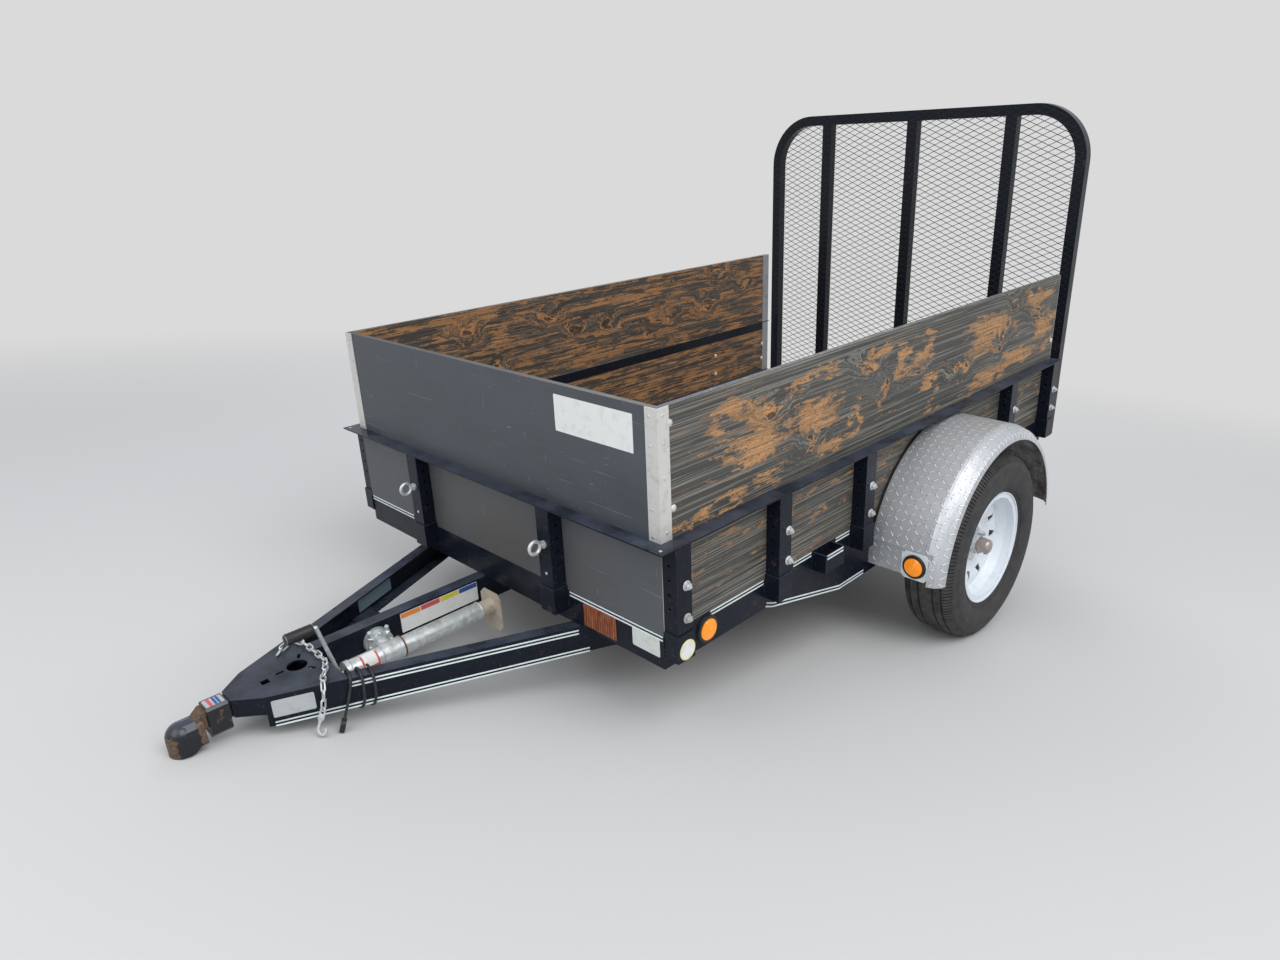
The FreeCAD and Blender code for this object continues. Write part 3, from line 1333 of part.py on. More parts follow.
def wiring_lead():
    """A round lead laid in straight runs with an arc at each corner."""
    points = lead_points()
    edges = []
    last = points[0]
    least = math.inf
    for before, here, after in zip(points, points[1:], points[2:]):
        first = (before - here).normalize()
        second = (after - here).normalize()
        half_turn = (math.pi - first.getAngle(second)) / 2
        reach = 0.45 * min(before.distanceToPoint(here), after.distanceToPoint(here))
        radius = reach / math.tan(half_turn)
        least = min(least, radius)
        inward = (first + second).normalize()
        centre = here + inward * (radius / math.cos(half_turn))
        start = here + first * reach
        end = here + second * reach
        edges.append(Part.LineSegment(last, start).toShape())
        edges.append(Part.Arc(start, centre - inward * radius, end).toShape())
        last = end
    edges.append(Part.LineSegment(last, points[-1]).toShape())
    ring = Part.Wire(Part.makeCircle(sheet.wire_radius, points[0], points[1] - points[0]))
    item = doc.addObject("Part::Feature", "wiring_lead")
    item.Shape = Part.Wire(edges).makePipeShell([ring], True, False)
    node(item, "wiring_lead")
    print("lead", round(sum(edge.Length for edge in edges)), "least radius", round(least, 1))


def wiring_plug():
    body = new_body("plug_shell")
    length = S["plug_length"]
    wide = 13
    flat = 7
    pad(body, XY, -flat, flat, polygon((0, -flat), (8, -wide), (length, -wide), (length, wide), (8, wide), (0, flat)))
    before, end = lead_points()[-2:]
    laid_along(body, end, end - before, 0)
    node(gather("wiring_plug", [body]), "wiring_plug")


perimeter_frame()
crossmembers()
deck_boards()
wall_boards()
mid_rail()
uprights_and_pockets()
corner_trims()
end_jambs()
tongue_legs()
tongue_centre()
tongue_gusset()
coupler_plate()
coupler_head()
coupler_collar()
tyres()
rims()
hubs()
leaf_springs()
spring_hangers()
side_plates()
axle()
axle_clamps()
fenders()
marker_lamps()
lamp_plates()
tail_lamps()
gate_frame()
gate_bars()
gate_mesh()
gate_hinges()
jack_mount()
jack_outer()
jack_crank()
jack_foot()
eye_bolts()
safety_chain()
wiring_lead()
wiring_plug()
doc.recompute()


def stance():
    """Pitch at which the tyres and the coupler's lower rim stand on one level."""
    front = sheet.head_at + sheet.head_radius
    reach = front - WHEEL_X.value
    drop = sheet.wheel_drop - sheet.head_bottom
    slope = math.atan2(drop, reach)
    return math.degrees(math.asin(sheet.tyre_radius / math.hypot(reach, drop)) + slope)


pitch = stance()
tilt = Placement(Vector(), Rotation(Vector(0, 1, 0), pitch))
for item, place in nodes:
    item.Placement = tilt.multiply(place)
doc.recompute()

box = FreeCAD.BoundBox()
for item, place in nodes:
    box.add(item.Shape.BoundBox)
shift = Vector(-box.Center.x, 0, -box.ZMin)
lift = Placement(shift, Rotation())
for item, place in nodes:
    item.Placement = lift.multiply(item.Placement)
doc.recompute()

for item in doc.Objects:
    bad = [state for state in item.State if state in ("Invalid", "Error")]
    if bad:
        raise RuntimeError(f"{item.Label}: {bad}")
for feature in cuts:
    if feature.Shape.Volume >= feature.BaseFeature.Shape.Volume - 1:
        raise RuntimeError(f"{feature.Label} of {feature.getParentGeoFeatureGroup().Label} removes nothing")
for item, place in nodes:
    shape = item.Shape
    if shape.isNull() or not shape.isValid():
        raise RuntimeError(f"{item.Label}: shape is null or not valid")
for item, place in nodes:
    item.Shape.exportStep(f"parts/{item.Label}.step")

print(f"pitch {pitch:.4f} shift {shift.x:.3f} {shift.z:.3f}")
print(f"box {box.XLength:.1f} {box.YLength:.1f} {box.ZLength:.1f}")
print(f"{len(nodes)} nodes, {sum(len(item.Shape.Solids) for item, place in nodes)} solids")
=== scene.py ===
"""Dresses the utility trailer: paint, worn boards, tread plate, tyres, lamps, bolts and stripes."""
import json
import math

import bpy
from mathutils import Euler, Matrix, Vector

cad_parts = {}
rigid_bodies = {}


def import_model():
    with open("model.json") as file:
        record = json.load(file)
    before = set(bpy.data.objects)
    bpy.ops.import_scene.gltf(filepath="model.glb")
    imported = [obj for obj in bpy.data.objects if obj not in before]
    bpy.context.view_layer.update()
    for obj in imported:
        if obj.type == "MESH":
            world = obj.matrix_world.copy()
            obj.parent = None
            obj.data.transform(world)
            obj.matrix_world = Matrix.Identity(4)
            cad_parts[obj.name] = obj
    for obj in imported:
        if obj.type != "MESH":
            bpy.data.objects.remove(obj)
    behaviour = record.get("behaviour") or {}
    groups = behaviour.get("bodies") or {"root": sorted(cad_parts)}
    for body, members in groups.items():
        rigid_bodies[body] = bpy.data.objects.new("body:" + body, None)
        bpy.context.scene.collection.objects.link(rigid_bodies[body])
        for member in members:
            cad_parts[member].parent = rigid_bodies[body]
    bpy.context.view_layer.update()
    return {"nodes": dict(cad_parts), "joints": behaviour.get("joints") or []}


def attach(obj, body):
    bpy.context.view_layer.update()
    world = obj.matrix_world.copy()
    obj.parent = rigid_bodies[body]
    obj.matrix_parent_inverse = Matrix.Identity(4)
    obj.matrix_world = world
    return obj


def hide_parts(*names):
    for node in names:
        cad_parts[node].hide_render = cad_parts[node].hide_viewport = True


bl_info = {
    "name": "Utility trailer finishes",
    "version": (1, 0, 0),
    "blender": (4, 5, 0),
    "location": "View3D > Sidebar > Trailer",
    "description": "Paint, boards, tyres, lamps, fastenings and labels of a small utility trailer",
    "category": "Object",
}

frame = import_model()
JOINT_PLACE = {joint["name"]: Vector(joint["pos_m"]) for joint in frame["joints"] if "pos_m" in joint}

# The level trailer's own frame: X forward from the front boards, Z up from the bed frame's underside.
# Its stance is read from two joints whose places on the level trailer are known.
WHEEL = Vector((-1.455, 0.0, -0.098))
GATE_PIN = Vector((-2.485, 0.0, 0.022))


def find_stance():
    level = GATE_PIN - WHEEL
    stands = JOINT_PLACE["gate_fold"] - JOINT_PLACE["wheel_left_spin"]
    pitch = math.atan2(level.z, level.x) - math.atan2(stands.z, stands.x)
    turn = Matrix.Rotation(pitch, 4, "Y")
    shift = JOINT_PLACE["gate_fold"] - turn @ GATE_PIN
    return pitch, Vector((shift.x, 0.0, shift.z))


PITCH, SHIFT = find_stance()
STANCE = Matrix.Translation(SHIFT) @ Matrix.Rotation(PITCH, 4, "Y")

HALF_WIDTH = 0.775
POCKET_FACE = 0.8273
UPRIGHT_FACE = 0.8230
FRONT_UPRIGHT = 0.350
COLLAR_TOP = 0.0073
TRACK_HALF = 0.942
FENDER_RADIUS = 0.455
LUG_STEP = 0.0270
DECK_EDGE = 0.7697
PLANK_STEP = 0.19278
PLANKS = 8
SIDES = (("left", 1), ("right", -1))
FLIPS = (1, -1)
ORIGIN = (0, 0, 0)
AHEAD, BACK = (1, 0, 0), (-1, 0, 0)
OUT, IN = (0, 1, 0), (0, -1, 0)
UP = (0, 0, 1)
# The legs of the tongue: each outer face starts here at the front boards and turns in by this much.
LEG_SPREAD = 0.435
LEG_TURN = math.radians(24)
JACK_AXIS = Vector((0.0, 0.040, -0.056))
CRANK_AXIS = Vector((0.0, 0.040, 0.115))
MM = 0.001


def leg_place(side):
    return Matrix.Translation((0, side * LEG_SPREAD, 0)) @ Matrix.Rotation(-side * LEG_TURN, 4, "Z")


def front_face(along, up, out):
    """A point on the front rail and boards, given across the trailer, up and off the face."""
    return Vector((out, along, up))


def collar_face(along, up, out):
    """A point on the top of the coupler's collar, given forward, across and off the face."""
    return Vector((along, up, COLLAR_TOP + out))


def rear_face(plane):
    """Points on an upright face at the back, given across the trailer, up and off the face."""
    return lambda along, up, out: Vector((plane - out, along, up))


def side_face(side, plane):
    """Points on an upright face along the trailer, given along, up and off the face."""
    return lambda along, up, out: Vector((along, side * (plane + out), up))


def leg_face(side, plane, facing_out=1):
    """Points on a face along a leg of the tongue, given along, up and off the face."""
    place = leg_place(side)
    return lambda along, up, out: place @ Vector((along, side * facing_out * (plane + out), up))


FACES = {
    "front": front_face,
    "left": side_face(1, HALF_WIDTH),
    "right": side_face(-1, HALF_WIDTH),
    "left_pocket": side_face(1, POCKET_FACE),
    "right_pocket": side_face(-1, POCKET_FACE),
    "web": side_face(1, -0.050),
    "collar": collar_face,
    "leg_left": leg_face(1, 0.0),
    "leg_right": leg_face(-1, 0.0),
    "leg_far": leg_face(-1, 0.005, -1),
    "skirt": leg_face(1, 0.0053),
}


def deselect():
    active = bpy.context.view_layer.objects.active
    if active and active.mode != "OBJECT":
        bpy.ops.object.mode_set(mode="OBJECT")
    bpy.ops.object.select_all(action="DESELECT")


def pick(piece):
    deselect()
    bpy.context.view_layer.objects.active = piece
    piece.select_set(True)


def begin(name):
    """A new piece with its origin at the frame's, empty and open in edit mode."""
    deselect()
    bpy.ops.mesh.primitive_plane_add(size=1, location=ORIGIN)
    piece = bpy.context.object
    piece.name = name
    piece.data.name = name
    bpy.ops.object.mode_set(mode="EDIT")
    bpy.ops.mesh.select_mode(type="VERT")
    bpy.ops.mesh.select_all(action="SELECT")
    bpy.ops.mesh.delete(type="VERT")
    return piece


def rod(start, end, radius, vertices):
    """Adds a bar with flat sides between two places."""
    start, end = Vector(start), Vector(end)
    axis = end - start
    bpy.ops.mesh.select_all(action="DESELECT")
    bpy.ops.mesh.primitive_cone_add(
        vertices=vertices, radius1=radius, radius2=radius, depth=axis.length,
        location=(start + end) / 2, rotation=axis.to_track_quat("Z", "Y").to_euler())


def line(points, closed=False):
    """Draws a chain of edges from point to point."""
    points = [Vector(point) for point in points]
    bpy.ops.mesh.select_all(action="DESELECT")
    bpy.ops.mesh.primitive_plane_add(size=0.001, location=points[0])
    bpy.ops.mesh.merge(type="CENTER")
    route = points + points[:1] if closed else points
    for before, after in zip(route, route[1:]):
        bpy.ops.mesh.extrude_vertices_move(TRANSFORM_OT_translate={"value": after - before})
    bpy.ops.mesh.select_linked()
    if closed:
        bpy.ops.mesh.remove_doubles(threshold=0.00001)


def turned(profile, centre, axis, steps, closed=False):
    """Spins a profile of (radius, place along the axis) around the axis."""
    centre, axis = Vector(centre), Vector(axis).normalized()
    out = axis.orthogonal().normalized()
    line([centre + out * radius + axis * along for radius, along in profile], closed)
    bpy.ops.mesh.spin(steps=steps, angle=math.tau, center=centre, axis=axis, use_auto_merge=True)
    bpy.ops.mesh.select_linked()
    bpy.ops.mesh.remove_doubles(threshold=0.00001)
    bpy.ops.mesh.normals_make_consistent(inside=False)


def round_edges(piece, width, segments=2):
    pick(piece)
    bevel = piece.modifiers.new("bevel", "BEVEL")
    bevel.width = width
    bevel.segments = segments
    bevel.limit_method = "ANGLE"
    bevel.angle_limit = math.radians(35)
    bpy.ops.object.modifier_apply(modifier=bevel.name)


def copies(master, places):
    """Copies a finished form to each place, given as a matrix, and joins them into one piece."""
    deselect()
    name = master.name
    made = []
    for place in places:
        twin = master.copy()
        twin.data = master.data.copy()
        bpy.context.scene.collection.objects.link(twin)
        twin.matrix_world = place
        made.append(twin)
    bpy.data.objects.remove(master)
    for twin in made:
        twin.select_set(True)
    bpy.context.view_layer.objects.active = made[0]
    bpy.ops.object.transform_apply(location=True, rotation=True, scale=True)
    if len(made) > 1:
        bpy.ops.object.join()
    piece = bpy.context.view_layer.objects.active
    piece.name = name
    piece.data.name = name
    return piece


def facing(place, direction):
    """A matrix that stands a form made along +Z at a place, facing a direction."""
    turn = Vector(direction).to_track_quat("Z", "Y").to_matrix().to_4x4()
    return Matrix.Translation(Vector(place)) @ turn


def on_both_sides(spots, direction):
    """Matrices that stand a form at some spots of the left side and at their twins on the right."""
    ahead, out, up = direction
    return [facing((x, side * y, z), (ahead, side * out, up)) for side in FLIPS for x, y, z in spots]


def settle(piece, body, finish, smooth=35.0):
    """Puts a finished piece into the trailer's stance, gives it its finish and its body."""
    pick(piece)
    piece.matrix_world = STANCE @ piece.matrix_world
    bpy.ops.object.transform_apply(location=True, rotation=True, scale=True)
    bpy.ops.object.shade_smooth_by_angle(angle=math.radians(smooth))
    piece.data.materials.clear()
    piece.data.materials.append(MATERIALS[finish])
    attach(piece, body)
    deselect()
    return piece


def lathe(name, profile, centre, axis, steps, body, finish, closed=False):
    """Models a piece that is round about an axis."""
    piece = begin(name)
    turned(profile, centre, axis, steps, closed)
    return settle(piece, body, finish)


def outline(points, corner=0.0, segments=3):
    """Draws a flat face through points and rounds its corners."""
    line(points, closed=True)
    bpy.ops.mesh.edge_face_add()
    if corner:
        bpy.ops.mesh.bevel(offset=corner, segments=segments, affect="VERTICES")


def thicken(step):
    """Draws the selected face out by a step and closes the form."""
    bpy.ops.mesh.extrude_region_move(TRANSFORM_OT_translate={"value": step})
    bpy.ops.mesh.select_linked()
    bpy.ops.mesh.normals_make_consistent(inside=False)


def plate(face, low, high, thick, corner=0.0, lift=0.0):
    """Adds a thin plate with rounded corners on a face, from a low to a high corner given along and up it."""
    (left, bottom), (right, top) = low, high
    corners = ((left, bottom), (right, bottom), (right, top), (left, top))
    outline([face(*place, lift) for place in corners], corner)
    thicken(face(0, 0, thick) - face(0, 0, 0))


def ribbon(face, points, shift, width, thick):
    """Adds a thin band along a line of points on a face, set off to one side of it."""
    sides = [[], []]
    for index, point in enumerate(points):
        before = Vector(points[max(index - 1, 0)])
        after = Vector(points[min(index + 1, len(points) - 1)])
        across = (after - before).normalized().orthogonal()
        for side, off in zip(sides, (shift - width / 2, shift + width / 2)):
            side.append(Vector(point) + across * off)
    outline([face(*point, 0.0) for point in sides[0] + sides[1][::-1]])
    thicken(face(0, 0, thick) - face(0, 0, 0))


def swept(profile, centre, axis, start, end, steps):
    """Spins a closed profile of (radius, place along the axis) from one angle to another, 0 being straight up."""
    centre, axis = Vector(centre), Vector(axis).normalized()
    out = Matrix.Rotation(start, 3, axis) @ Vector(UP)
    line([centre + out * radius + axis * along for radius, along in profile], closed=True)
    bpy.ops.mesh.spin(steps=steps, angle=start - end, center=centre, axis=axis)
    bpy.ops.mesh.select_linked()
    bpy.ops.mesh.fill_holes(sides=0)
    bpy.ops.mesh.select_linked()
    bpy.ops.mesh.normals_make_consistent(inside=False)


def choose(piece, kind, test):
    """Selects the faces or the vertices whose place passes a test and leaves the piece open in edit mode."""
    bpy.ops.object.mode_set(mode="EDIT")
    bpy.ops.mesh.select_mode(type=kind)
    bpy.ops.mesh.select_all(action="DESELECT")
    bpy.ops.object.mode_set(mode="OBJECT")
    for part in piece.data.polygons if kind == "FACE" else piece.data.vertices:
        part.select = test(part.center if kind == "FACE" else part.co)
    bpy.ops.object.mode_set(mode="EDIT")


def level_box(*nodes):
    """The lowest and highest corners of some solids on the level trailer."""
    back = STANCE.inverted()
    points = [back @ vertex.co for node in nodes for vertex in frame["nodes"][node].data.vertices]
    return [Vector([choice(point[axis] for point in points) for axis in range(3)]) for choice in (min, max)]


MATERIALS = {}


def add_node(tree, kind, inputs, **settings):
    """Adds a shader node and gives its inputs numbers, colours or what other nodes put out."""
    node = tree.nodes.new(kind)
    for key, value in settings.items():
        setattr(node, key, value)
    for name, value in inputs.items():
        feed(tree, node.inputs[name], value)
    return node


def feed(tree, socket, value):
    value = getattr(value, "socket", value)
    if isinstance(value, bpy.types.NodeSocket):
        tree.links.new(value, socket)
    else:
        socket.default_value = value


class Pattern:
    """A value or a colour that differs over a surface, worked on with plain arithmetic."""

    def __init__(self, finish, socket):
        self.finish = finish
        self.socket = socket

    def math(self, operation, second=0.0):
        return self.finish.make("ShaderNodeMath", {0: self, 1: second}, operation=operation)

    def __add__(self, other):
        return self.math("ADD", other)

    def __sub__(self, other):
        return self.math("SUBTRACT", other)

    def __mul__(self, other):
        return self.math("MULTIPLY", other)

    def __truediv__(self, other):
        return self.math("DIVIDE", other)

    def __pow__(self, other):
        return self.math("POWER", other)

    def __abs__(self):
        return self.math("ABSOLUTE")

    def most(self, other):
        return self.math("MAXIMUM", other)

    def span(self, low, high, start=0.0, end=1.0):
        """Maps a range of the value onto another, held at its ends."""
        return self.finish.make("ShaderNodeMapRange", {"Value": self, "From Min": low, "From Max": high,
                                                       "To Min": start, "To Max": end})


class Finish:
    """A material whose patterns are laid out in metres on the level trailer."""

    def __init__(self, name, roughness, metallic=0.0):
        material = bpy.data.materials.new(name)
        material.use_nodes = True
        MATERIALS[name] = material
        self.tree = material.node_tree
        self.use("Roughness", roughness)
        self.use("Metallic", metallic)
        source = self.make("ShaderNodeTexCoord", {}, "Object")
        self.place = self.make("ShaderNodeMapping", {"Vector": source, "Location": SHIFT, "Rotation": (0, PITCH, 0)},
                               vector_type="TEXTURE")

    def make(self, kind, inputs, output=0, **settings):
        return Pattern(self, add_node(self.tree, kind, inputs, **settings).outputs[output])

    def use(self, name, value):
        """Gives the shader a number, a colour or a pattern."""
        feed(self.tree, self.tree.nodes["Principled BSDF"].inputs[name], value)

    def stretch(self, scale, at=None, turn=(0, 0, 0)):
        return self.make("ShaderNodeMapping", {"Vector": at or self.place, "Scale": scale, "Rotation": turn})

    def noise(self, scale, detail=4.0, rough=0.55, bend=0.0, at=None, turn=(0, 0, 0)):
        """Noise of one scale, or of three where it is drawn out along the axes."""
        if isinstance(scale, tuple):
            at, scale = self.stretch(scale, at, turn), 1.0
        return self.make("ShaderNodeTexNoise", {"Vector": at or self.place, "Scale": scale, "Detail": detail,
                                                "Roughness": rough, "Distortion": bend}, "Fac")

    def cells(self, scale, output="Distance", at=None):
        return self.make("ShaderNodeTexVoronoi", {"Vector": at or self.place, "Scale": scale}, output)

    def blend(self, share, first, second):
        """Goes from one number to another by a share."""
        return self.make("ShaderNodeMix", {0: share, 2: first, 3: second})

    def mix(self, share, first, second):
        """Goes from one colour to another by a share."""
        first, second = [end if isinstance(end, Pattern) else (*end, 1.0) for end in (first, second)]
        return self.make("ShaderNodeMix", {0: share, 6: first, 7: second}, 2, data_type="RGBA")

    def parts(self, vector=None):
        node = add_node(self.tree, "ShaderNodeSeparateXYZ", {0: vector or self.place})
        return [Pattern(self, output) for output in node.outputs]

    def join(self, x, y, z):
        return self.make("ShaderNodeCombineXYZ", {0: x, 1: y, 2: z})

    def normal(self):
        """Which way the surface faces, in three parts."""
        return self.parts(self.make("ShaderNodeNewGeometry", {}, "Normal"))

    def relief(self, height, distance, strength=1.0):
        self.use("Normal", self.make("ShaderNodeBump", {"Height": height, "Distance": distance,
                                                        "Strength": strength}))


def shade(red, green, blue):
    """A colour given as it looks on a screen, 0 to 255, as the linear colour that shaders use."""
    def linear(value):
        value = value / 255
        return value / 12.92 if value <= 0.04045 else ((value + 0.055) / 1.055) ** 2.4
    return (linear(red), linear(green), linear(blue))


def times(colour, share):
    return [channel * share for channel in colour]


def painted_steel(colour):
    """Gloss enamel on steel with dust and a painted sky sheen on what faces up, dull patches, a few chips and rust
    in them.
    """
    paint = Finish("painted_steel", 0.3)
    paint.use("Specular IOR Level", 0.17)
    dull = paint.noise(9, 5)
    fine = paint.noise(60, 4, 0.7)
    # Dust and painted sky sheen: what faces up is tinted bluish grey, as the sky's sheen on the gloss would look,
    # and a little dust lies at random everywhere.
    dust = paint.normal()[2].span(0.3, 0.95) * dull.span(0.35, 0.7, 0.1, 0.5) + fine.span(0.55, 0.75, 0.0, 0.07)
    chips = paint.noise(170, 2).span(0.715, 0.73)
    clean = paint.mix(paint.noise(3, 3).span(0.3, 0.7), colour, times(colour, 1.5))
    rusted = paint.noise(24, 6, 0.7).span(0.62, 0.72) * 0.8
    bare = paint.mix(fine.span(0.4, 0.6), shade(112, 70, 44), shade(74, 50, 38))
    face = paint.mix(dust, clean, shade(96, 104, 120))
    face = paint.mix(rusted, face, bare)
    paint.use("Base Color", paint.mix(chips * 0.6, face, shade(128, 122, 118)))
    paint.use("Roughness", dull.span(0.3, 0.75, 0.2, 0.42) + rusted * 0.4)
    paint.relief(paint.noise(260, 2) + rusted, 0.0004, 0.25)


def worn_coupler(colour):
    """Black paint on the coupler, rubbed to brown metal on its shank, its nose and the collar's side, with a painted
    sky sheen on what faces up.
    """
    paint = Finish("worn_coupler", 0.28)
    x, _, z = paint.parts()
    patch = paint.noise(34, 5, 0.65)
    fine = paint.noise(140, 4, 0.7)
    shank = x.span(0.924, 0.930) * x.span(0.962, 0.948)
    nose = x.span(1.004, 1.016) * z.span(-0.026, -0.040)
    side = x.span(0.871, 0.873) * x.span(0.927, 0.925) * (z.span(0.004, -0.004) * 0.2)
    rubbed = shank.most(nose).most(side)
    share = patch.span(0.3, 0.7, -0.55, 0.45) + rubbed * 0.82 + fine.span(0.3, 0.7, -0.12, 0.12)
    worn = share.span(0.30, 0.42)
    brown = paint.mix(fine.span(0.4, 0.62), shade(108, 84, 64), shade(52, 42, 34))
    # Painted sky sheen: what faces up is tinted bluish grey.
    clean = paint.mix(paint.normal()[2].span(0.3, 0.95) * 0.3, colour, shade(92, 104, 122))
    paint.use("Base Color", paint.mix(worn, clean, brown))
    paint.use("Roughness", worn.span(0.0, 1.0, 0.26, 0.6))
    paint.relief(fine + worn * -0.8, 0.0005, 0.4)


PATCHES = (
    # x, height, half length, half height: where the stain has rubbed off the left upper board
    (-0.331, 0.607, 0.150, 0.078), (-0.466, 0.638, 0.085, 0.030), (-0.688, 0.543, 0.125, 0.048),
    (-0.368, 0.525, 0.145, 0.040), (-0.134, 0.395, 0.075, 0.018), (-0.283, 0.411, 0.090, 0.019),
    (-0.433, 0.418, 0.085, 0.017), (-0.875, 0.488, 0.020, 0.050), (-0.770, 0.440, 0.095, 0.022),
    (-0.693, 0.687, 0.170, 0.013), (-1.071, 0.525, 0.040, 0.055), (-1.370, 0.410, 0.090, 0.020),
    (-1.354, 0.501, 0.075, 0.028), (-1.319, 0.598, 0.060, 0.022), (-1.307, 0.668, 0.058, 0.020),
    (-1.020, 0.665, 0.068, 0.020), (-1.186, 0.605, 0.030, 0.055), (-1.813, 0.599, 0.170, 0.060),
    (-1.831, 0.430, 0.150, 0.055), (-2.081, 0.445, 0.330, 0.028), (-2.258, 0.672, 0.110, 0.034),
    (-2.331, 0.533, 0.105, 0.050), (-1.606, 0.500, 0.045, 0.030), (-0.920, 0.640, 0.035, 0.016),
)
UNWORN = ((-0.312, 0.607, 0.085, 0.042), (-1.071, 0.530, 0.018, 0.030), (-1.606, 0.500, 0.020, 0.014))
KNOTS = (
    # x, height of a knot, on the left upper board and inside the right one
    (-0.488, 0.628), (-0.905, 0.642), (-1.606, 0.500), (-2.026, 0.684), (-1.070, 0.560), (-0.640, 0.470),
    (-1.930, 0.540), (-1.240, 0.560), (-2.240, 0.600),
)


def nearness(board, place, spots):
    """1 at the middle of the nearest of some oval spots and 0 at its rim, less than 0 outside."""
    least = None
    local, middle, size = place, (0.0, 0.0), (1.0, 1.0)
    # Each spot's coordinates are made from the last spot's, so the renderer holds few of them at a time.
    for x, z, along, up in spots:
        local = board.make("ShaderNodeVectorMath", {
            0: local, 1: (size[0] / along, 0.0, size[1] / up),
            2: ((middle[0] - x) / along, 0.0, (middle[1] - z) / up)}, operation="MULTIPLY_ADD")
        middle, size = (x, z), (along, up)
        away = board.make("ShaderNodeVectorMath", {0: local}, "Value", operation="LENGTH")
        least = away if least is None else least.math("MINIMUM", away)
    return board.make("ShaderNodeMath", {0: 1.0, 1: least}, operation="SUBTRACT")


def side_boards(stain, worn):
    """Rough plywood, stained black, the stain rubbed off in flames along the grain and round the knots."""
    board = Finish("side_boards", 0.75)
    x, y, z = board.parts()
    above_rail = z.span(0.372, 0.374)
    drift = board.noise((5, 5, 9), 4, 0.6)
    sway = board.noise((4, 6, 14), 4, 0.6, 1.0)
    bent = board.join(x + drift.span(0.3, 0.7, -0.075, 0.075), y, z + sway.span(0.3, 0.7, -0.040, 0.040))
    knot_at = nearness(board, bent, [(kx, kz, 0.055, 0.030) for kx, kz in KNOTS])
    ringed = board.join(x, y, z + knot_at.most(-1.2) * 0.030)

    lines = board.noise((0.7, 3, 190), 2, 0.5, 0.4, ringed)
    fibre = board.noise((9, 60, 460), 3, 0.6, 0.0, ringed)
    flame = board.noise((4.5, 6, 19), 5, 0.62, 1.2, ringed)
    wave = board.noise((2.2, 9, 46), 3, 0.55, 1.8, ringed)
    speck = board.noise((70, 90, 190), 3, 0.7)
    mottle = board.noise((16, 20, 44), 4, 0.7, 0.5, ringed)
    scores = board.noise((2.2, 6, 300), 3, 0.6, 0.3, ringed)

    # Where the wood shows: in patches on the left upper board, thinly on the other outer faces, widely inside.
    patches = nearness(board, bent, PATCHES).most(-0.8) * 0.85 - nearness(board, bent, UNWORN).most(0.0) * 1.6
    upper_left = y.span(0.7740, 0.7745) * z.span(0.368, 0.372)
    inner = abs(y).span(0.7575, 0.7565)
    share = board.blend(inner, board.blend(upper_left, -0.28, patches), -0.01)
    share += flame.span(0.25, 0.75, -0.75, 0.75) * inner.span(0.0, 1.0, 1.0, 0.6)
    share += wave.span(0.3, 0.7, -0.5, 0.5) * inner.span(0.0, 1.0, 0.30, 1.35)
    for pattern, low, reach in ((fibre, 0.3, 0.16), (speck, 0.35, 0.24), (mottle, 0.3, 0.36)):
        share += pattern.span(low, 1.0 - low, -reach, reach)
    mask = share.span(-0.04, 0.32, 0.0, 0.92)

    pale = board.mix(mottle.span(0.36, 0.64), worn, times(worn, 0.66))
    dark = board.mix(drift.span(0.3, 0.7), stain, times(stain, 1.7))
    for pattern, low, high, most, colour in (
            (wave, 0.5, 0.7, 0.4, shade(168, 114, 66)), (fibre, 0.48, 0.70, 0.6, shade(212, 170, 124)),
            (scores, 0.53, 0.60, 0.6, shade(74, 50, 34)), (speck, 0.55, 0.64, 0.7, times(stain, 1.3))):
        pale = board.mix(pattern.span(low, high) * most, pale, colour)
    for pattern, low, high, most, colour in (
            (lines, 0.555, 0.60, 0.40, shade(142, 141, 134)), (scores, 0.55, 0.60, 0.5, shade(160, 154, 140)),
            (fibre, 0.5, 0.7, 0.30, shade(108, 88, 62)), (wave, 0.52, 0.68, 0.30, shade(92, 70, 48))):
        dark = board.mix(pattern.span(low, high) * most, dark, colour)
    pale = board.mix(inner * 0.35, pale, shade(150, 98, 50))
    dark = board.mix(inner * 0.55, dark, shade(58, 44, 33))
    face = board.mix(mask, dark, pale)
    heart = knot_at.span(0.55, 0.72) * above_rail
    rim = abs(knot_at - 0.42).span(0.13, 0.05) * 0.6
    face = board.mix(rim * above_rail, face, shade(196, 146, 92))
    face = board.mix(heart * 0.8, face, shade(58, 36, 24))

    normal = board.normal()
    rubbed = board.mix(speck.span(0.52, 0.68), shade(64, 66, 70), shade(128, 120, 106))
    plies = board.mix(board.noise((1, 420, 3), 1).span(0.45, 0.55), shade(176, 148, 112), shade(120, 92, 64))
    face = board.mix(normal[2].span(0.9, 0.95), face, rubbed)
    board.use("Base Color", board.mix(abs(normal[0]).span(0.9, 0.95), face, plies))
    board.relief(fibre * 0.6 + lines.span(0.5, 0.62) * 0.5 + mask * -0.25, 0.0014, 0.7)
    board.use("Roughness", mask.span(0.0, 1.0, 0.58, 0.8))


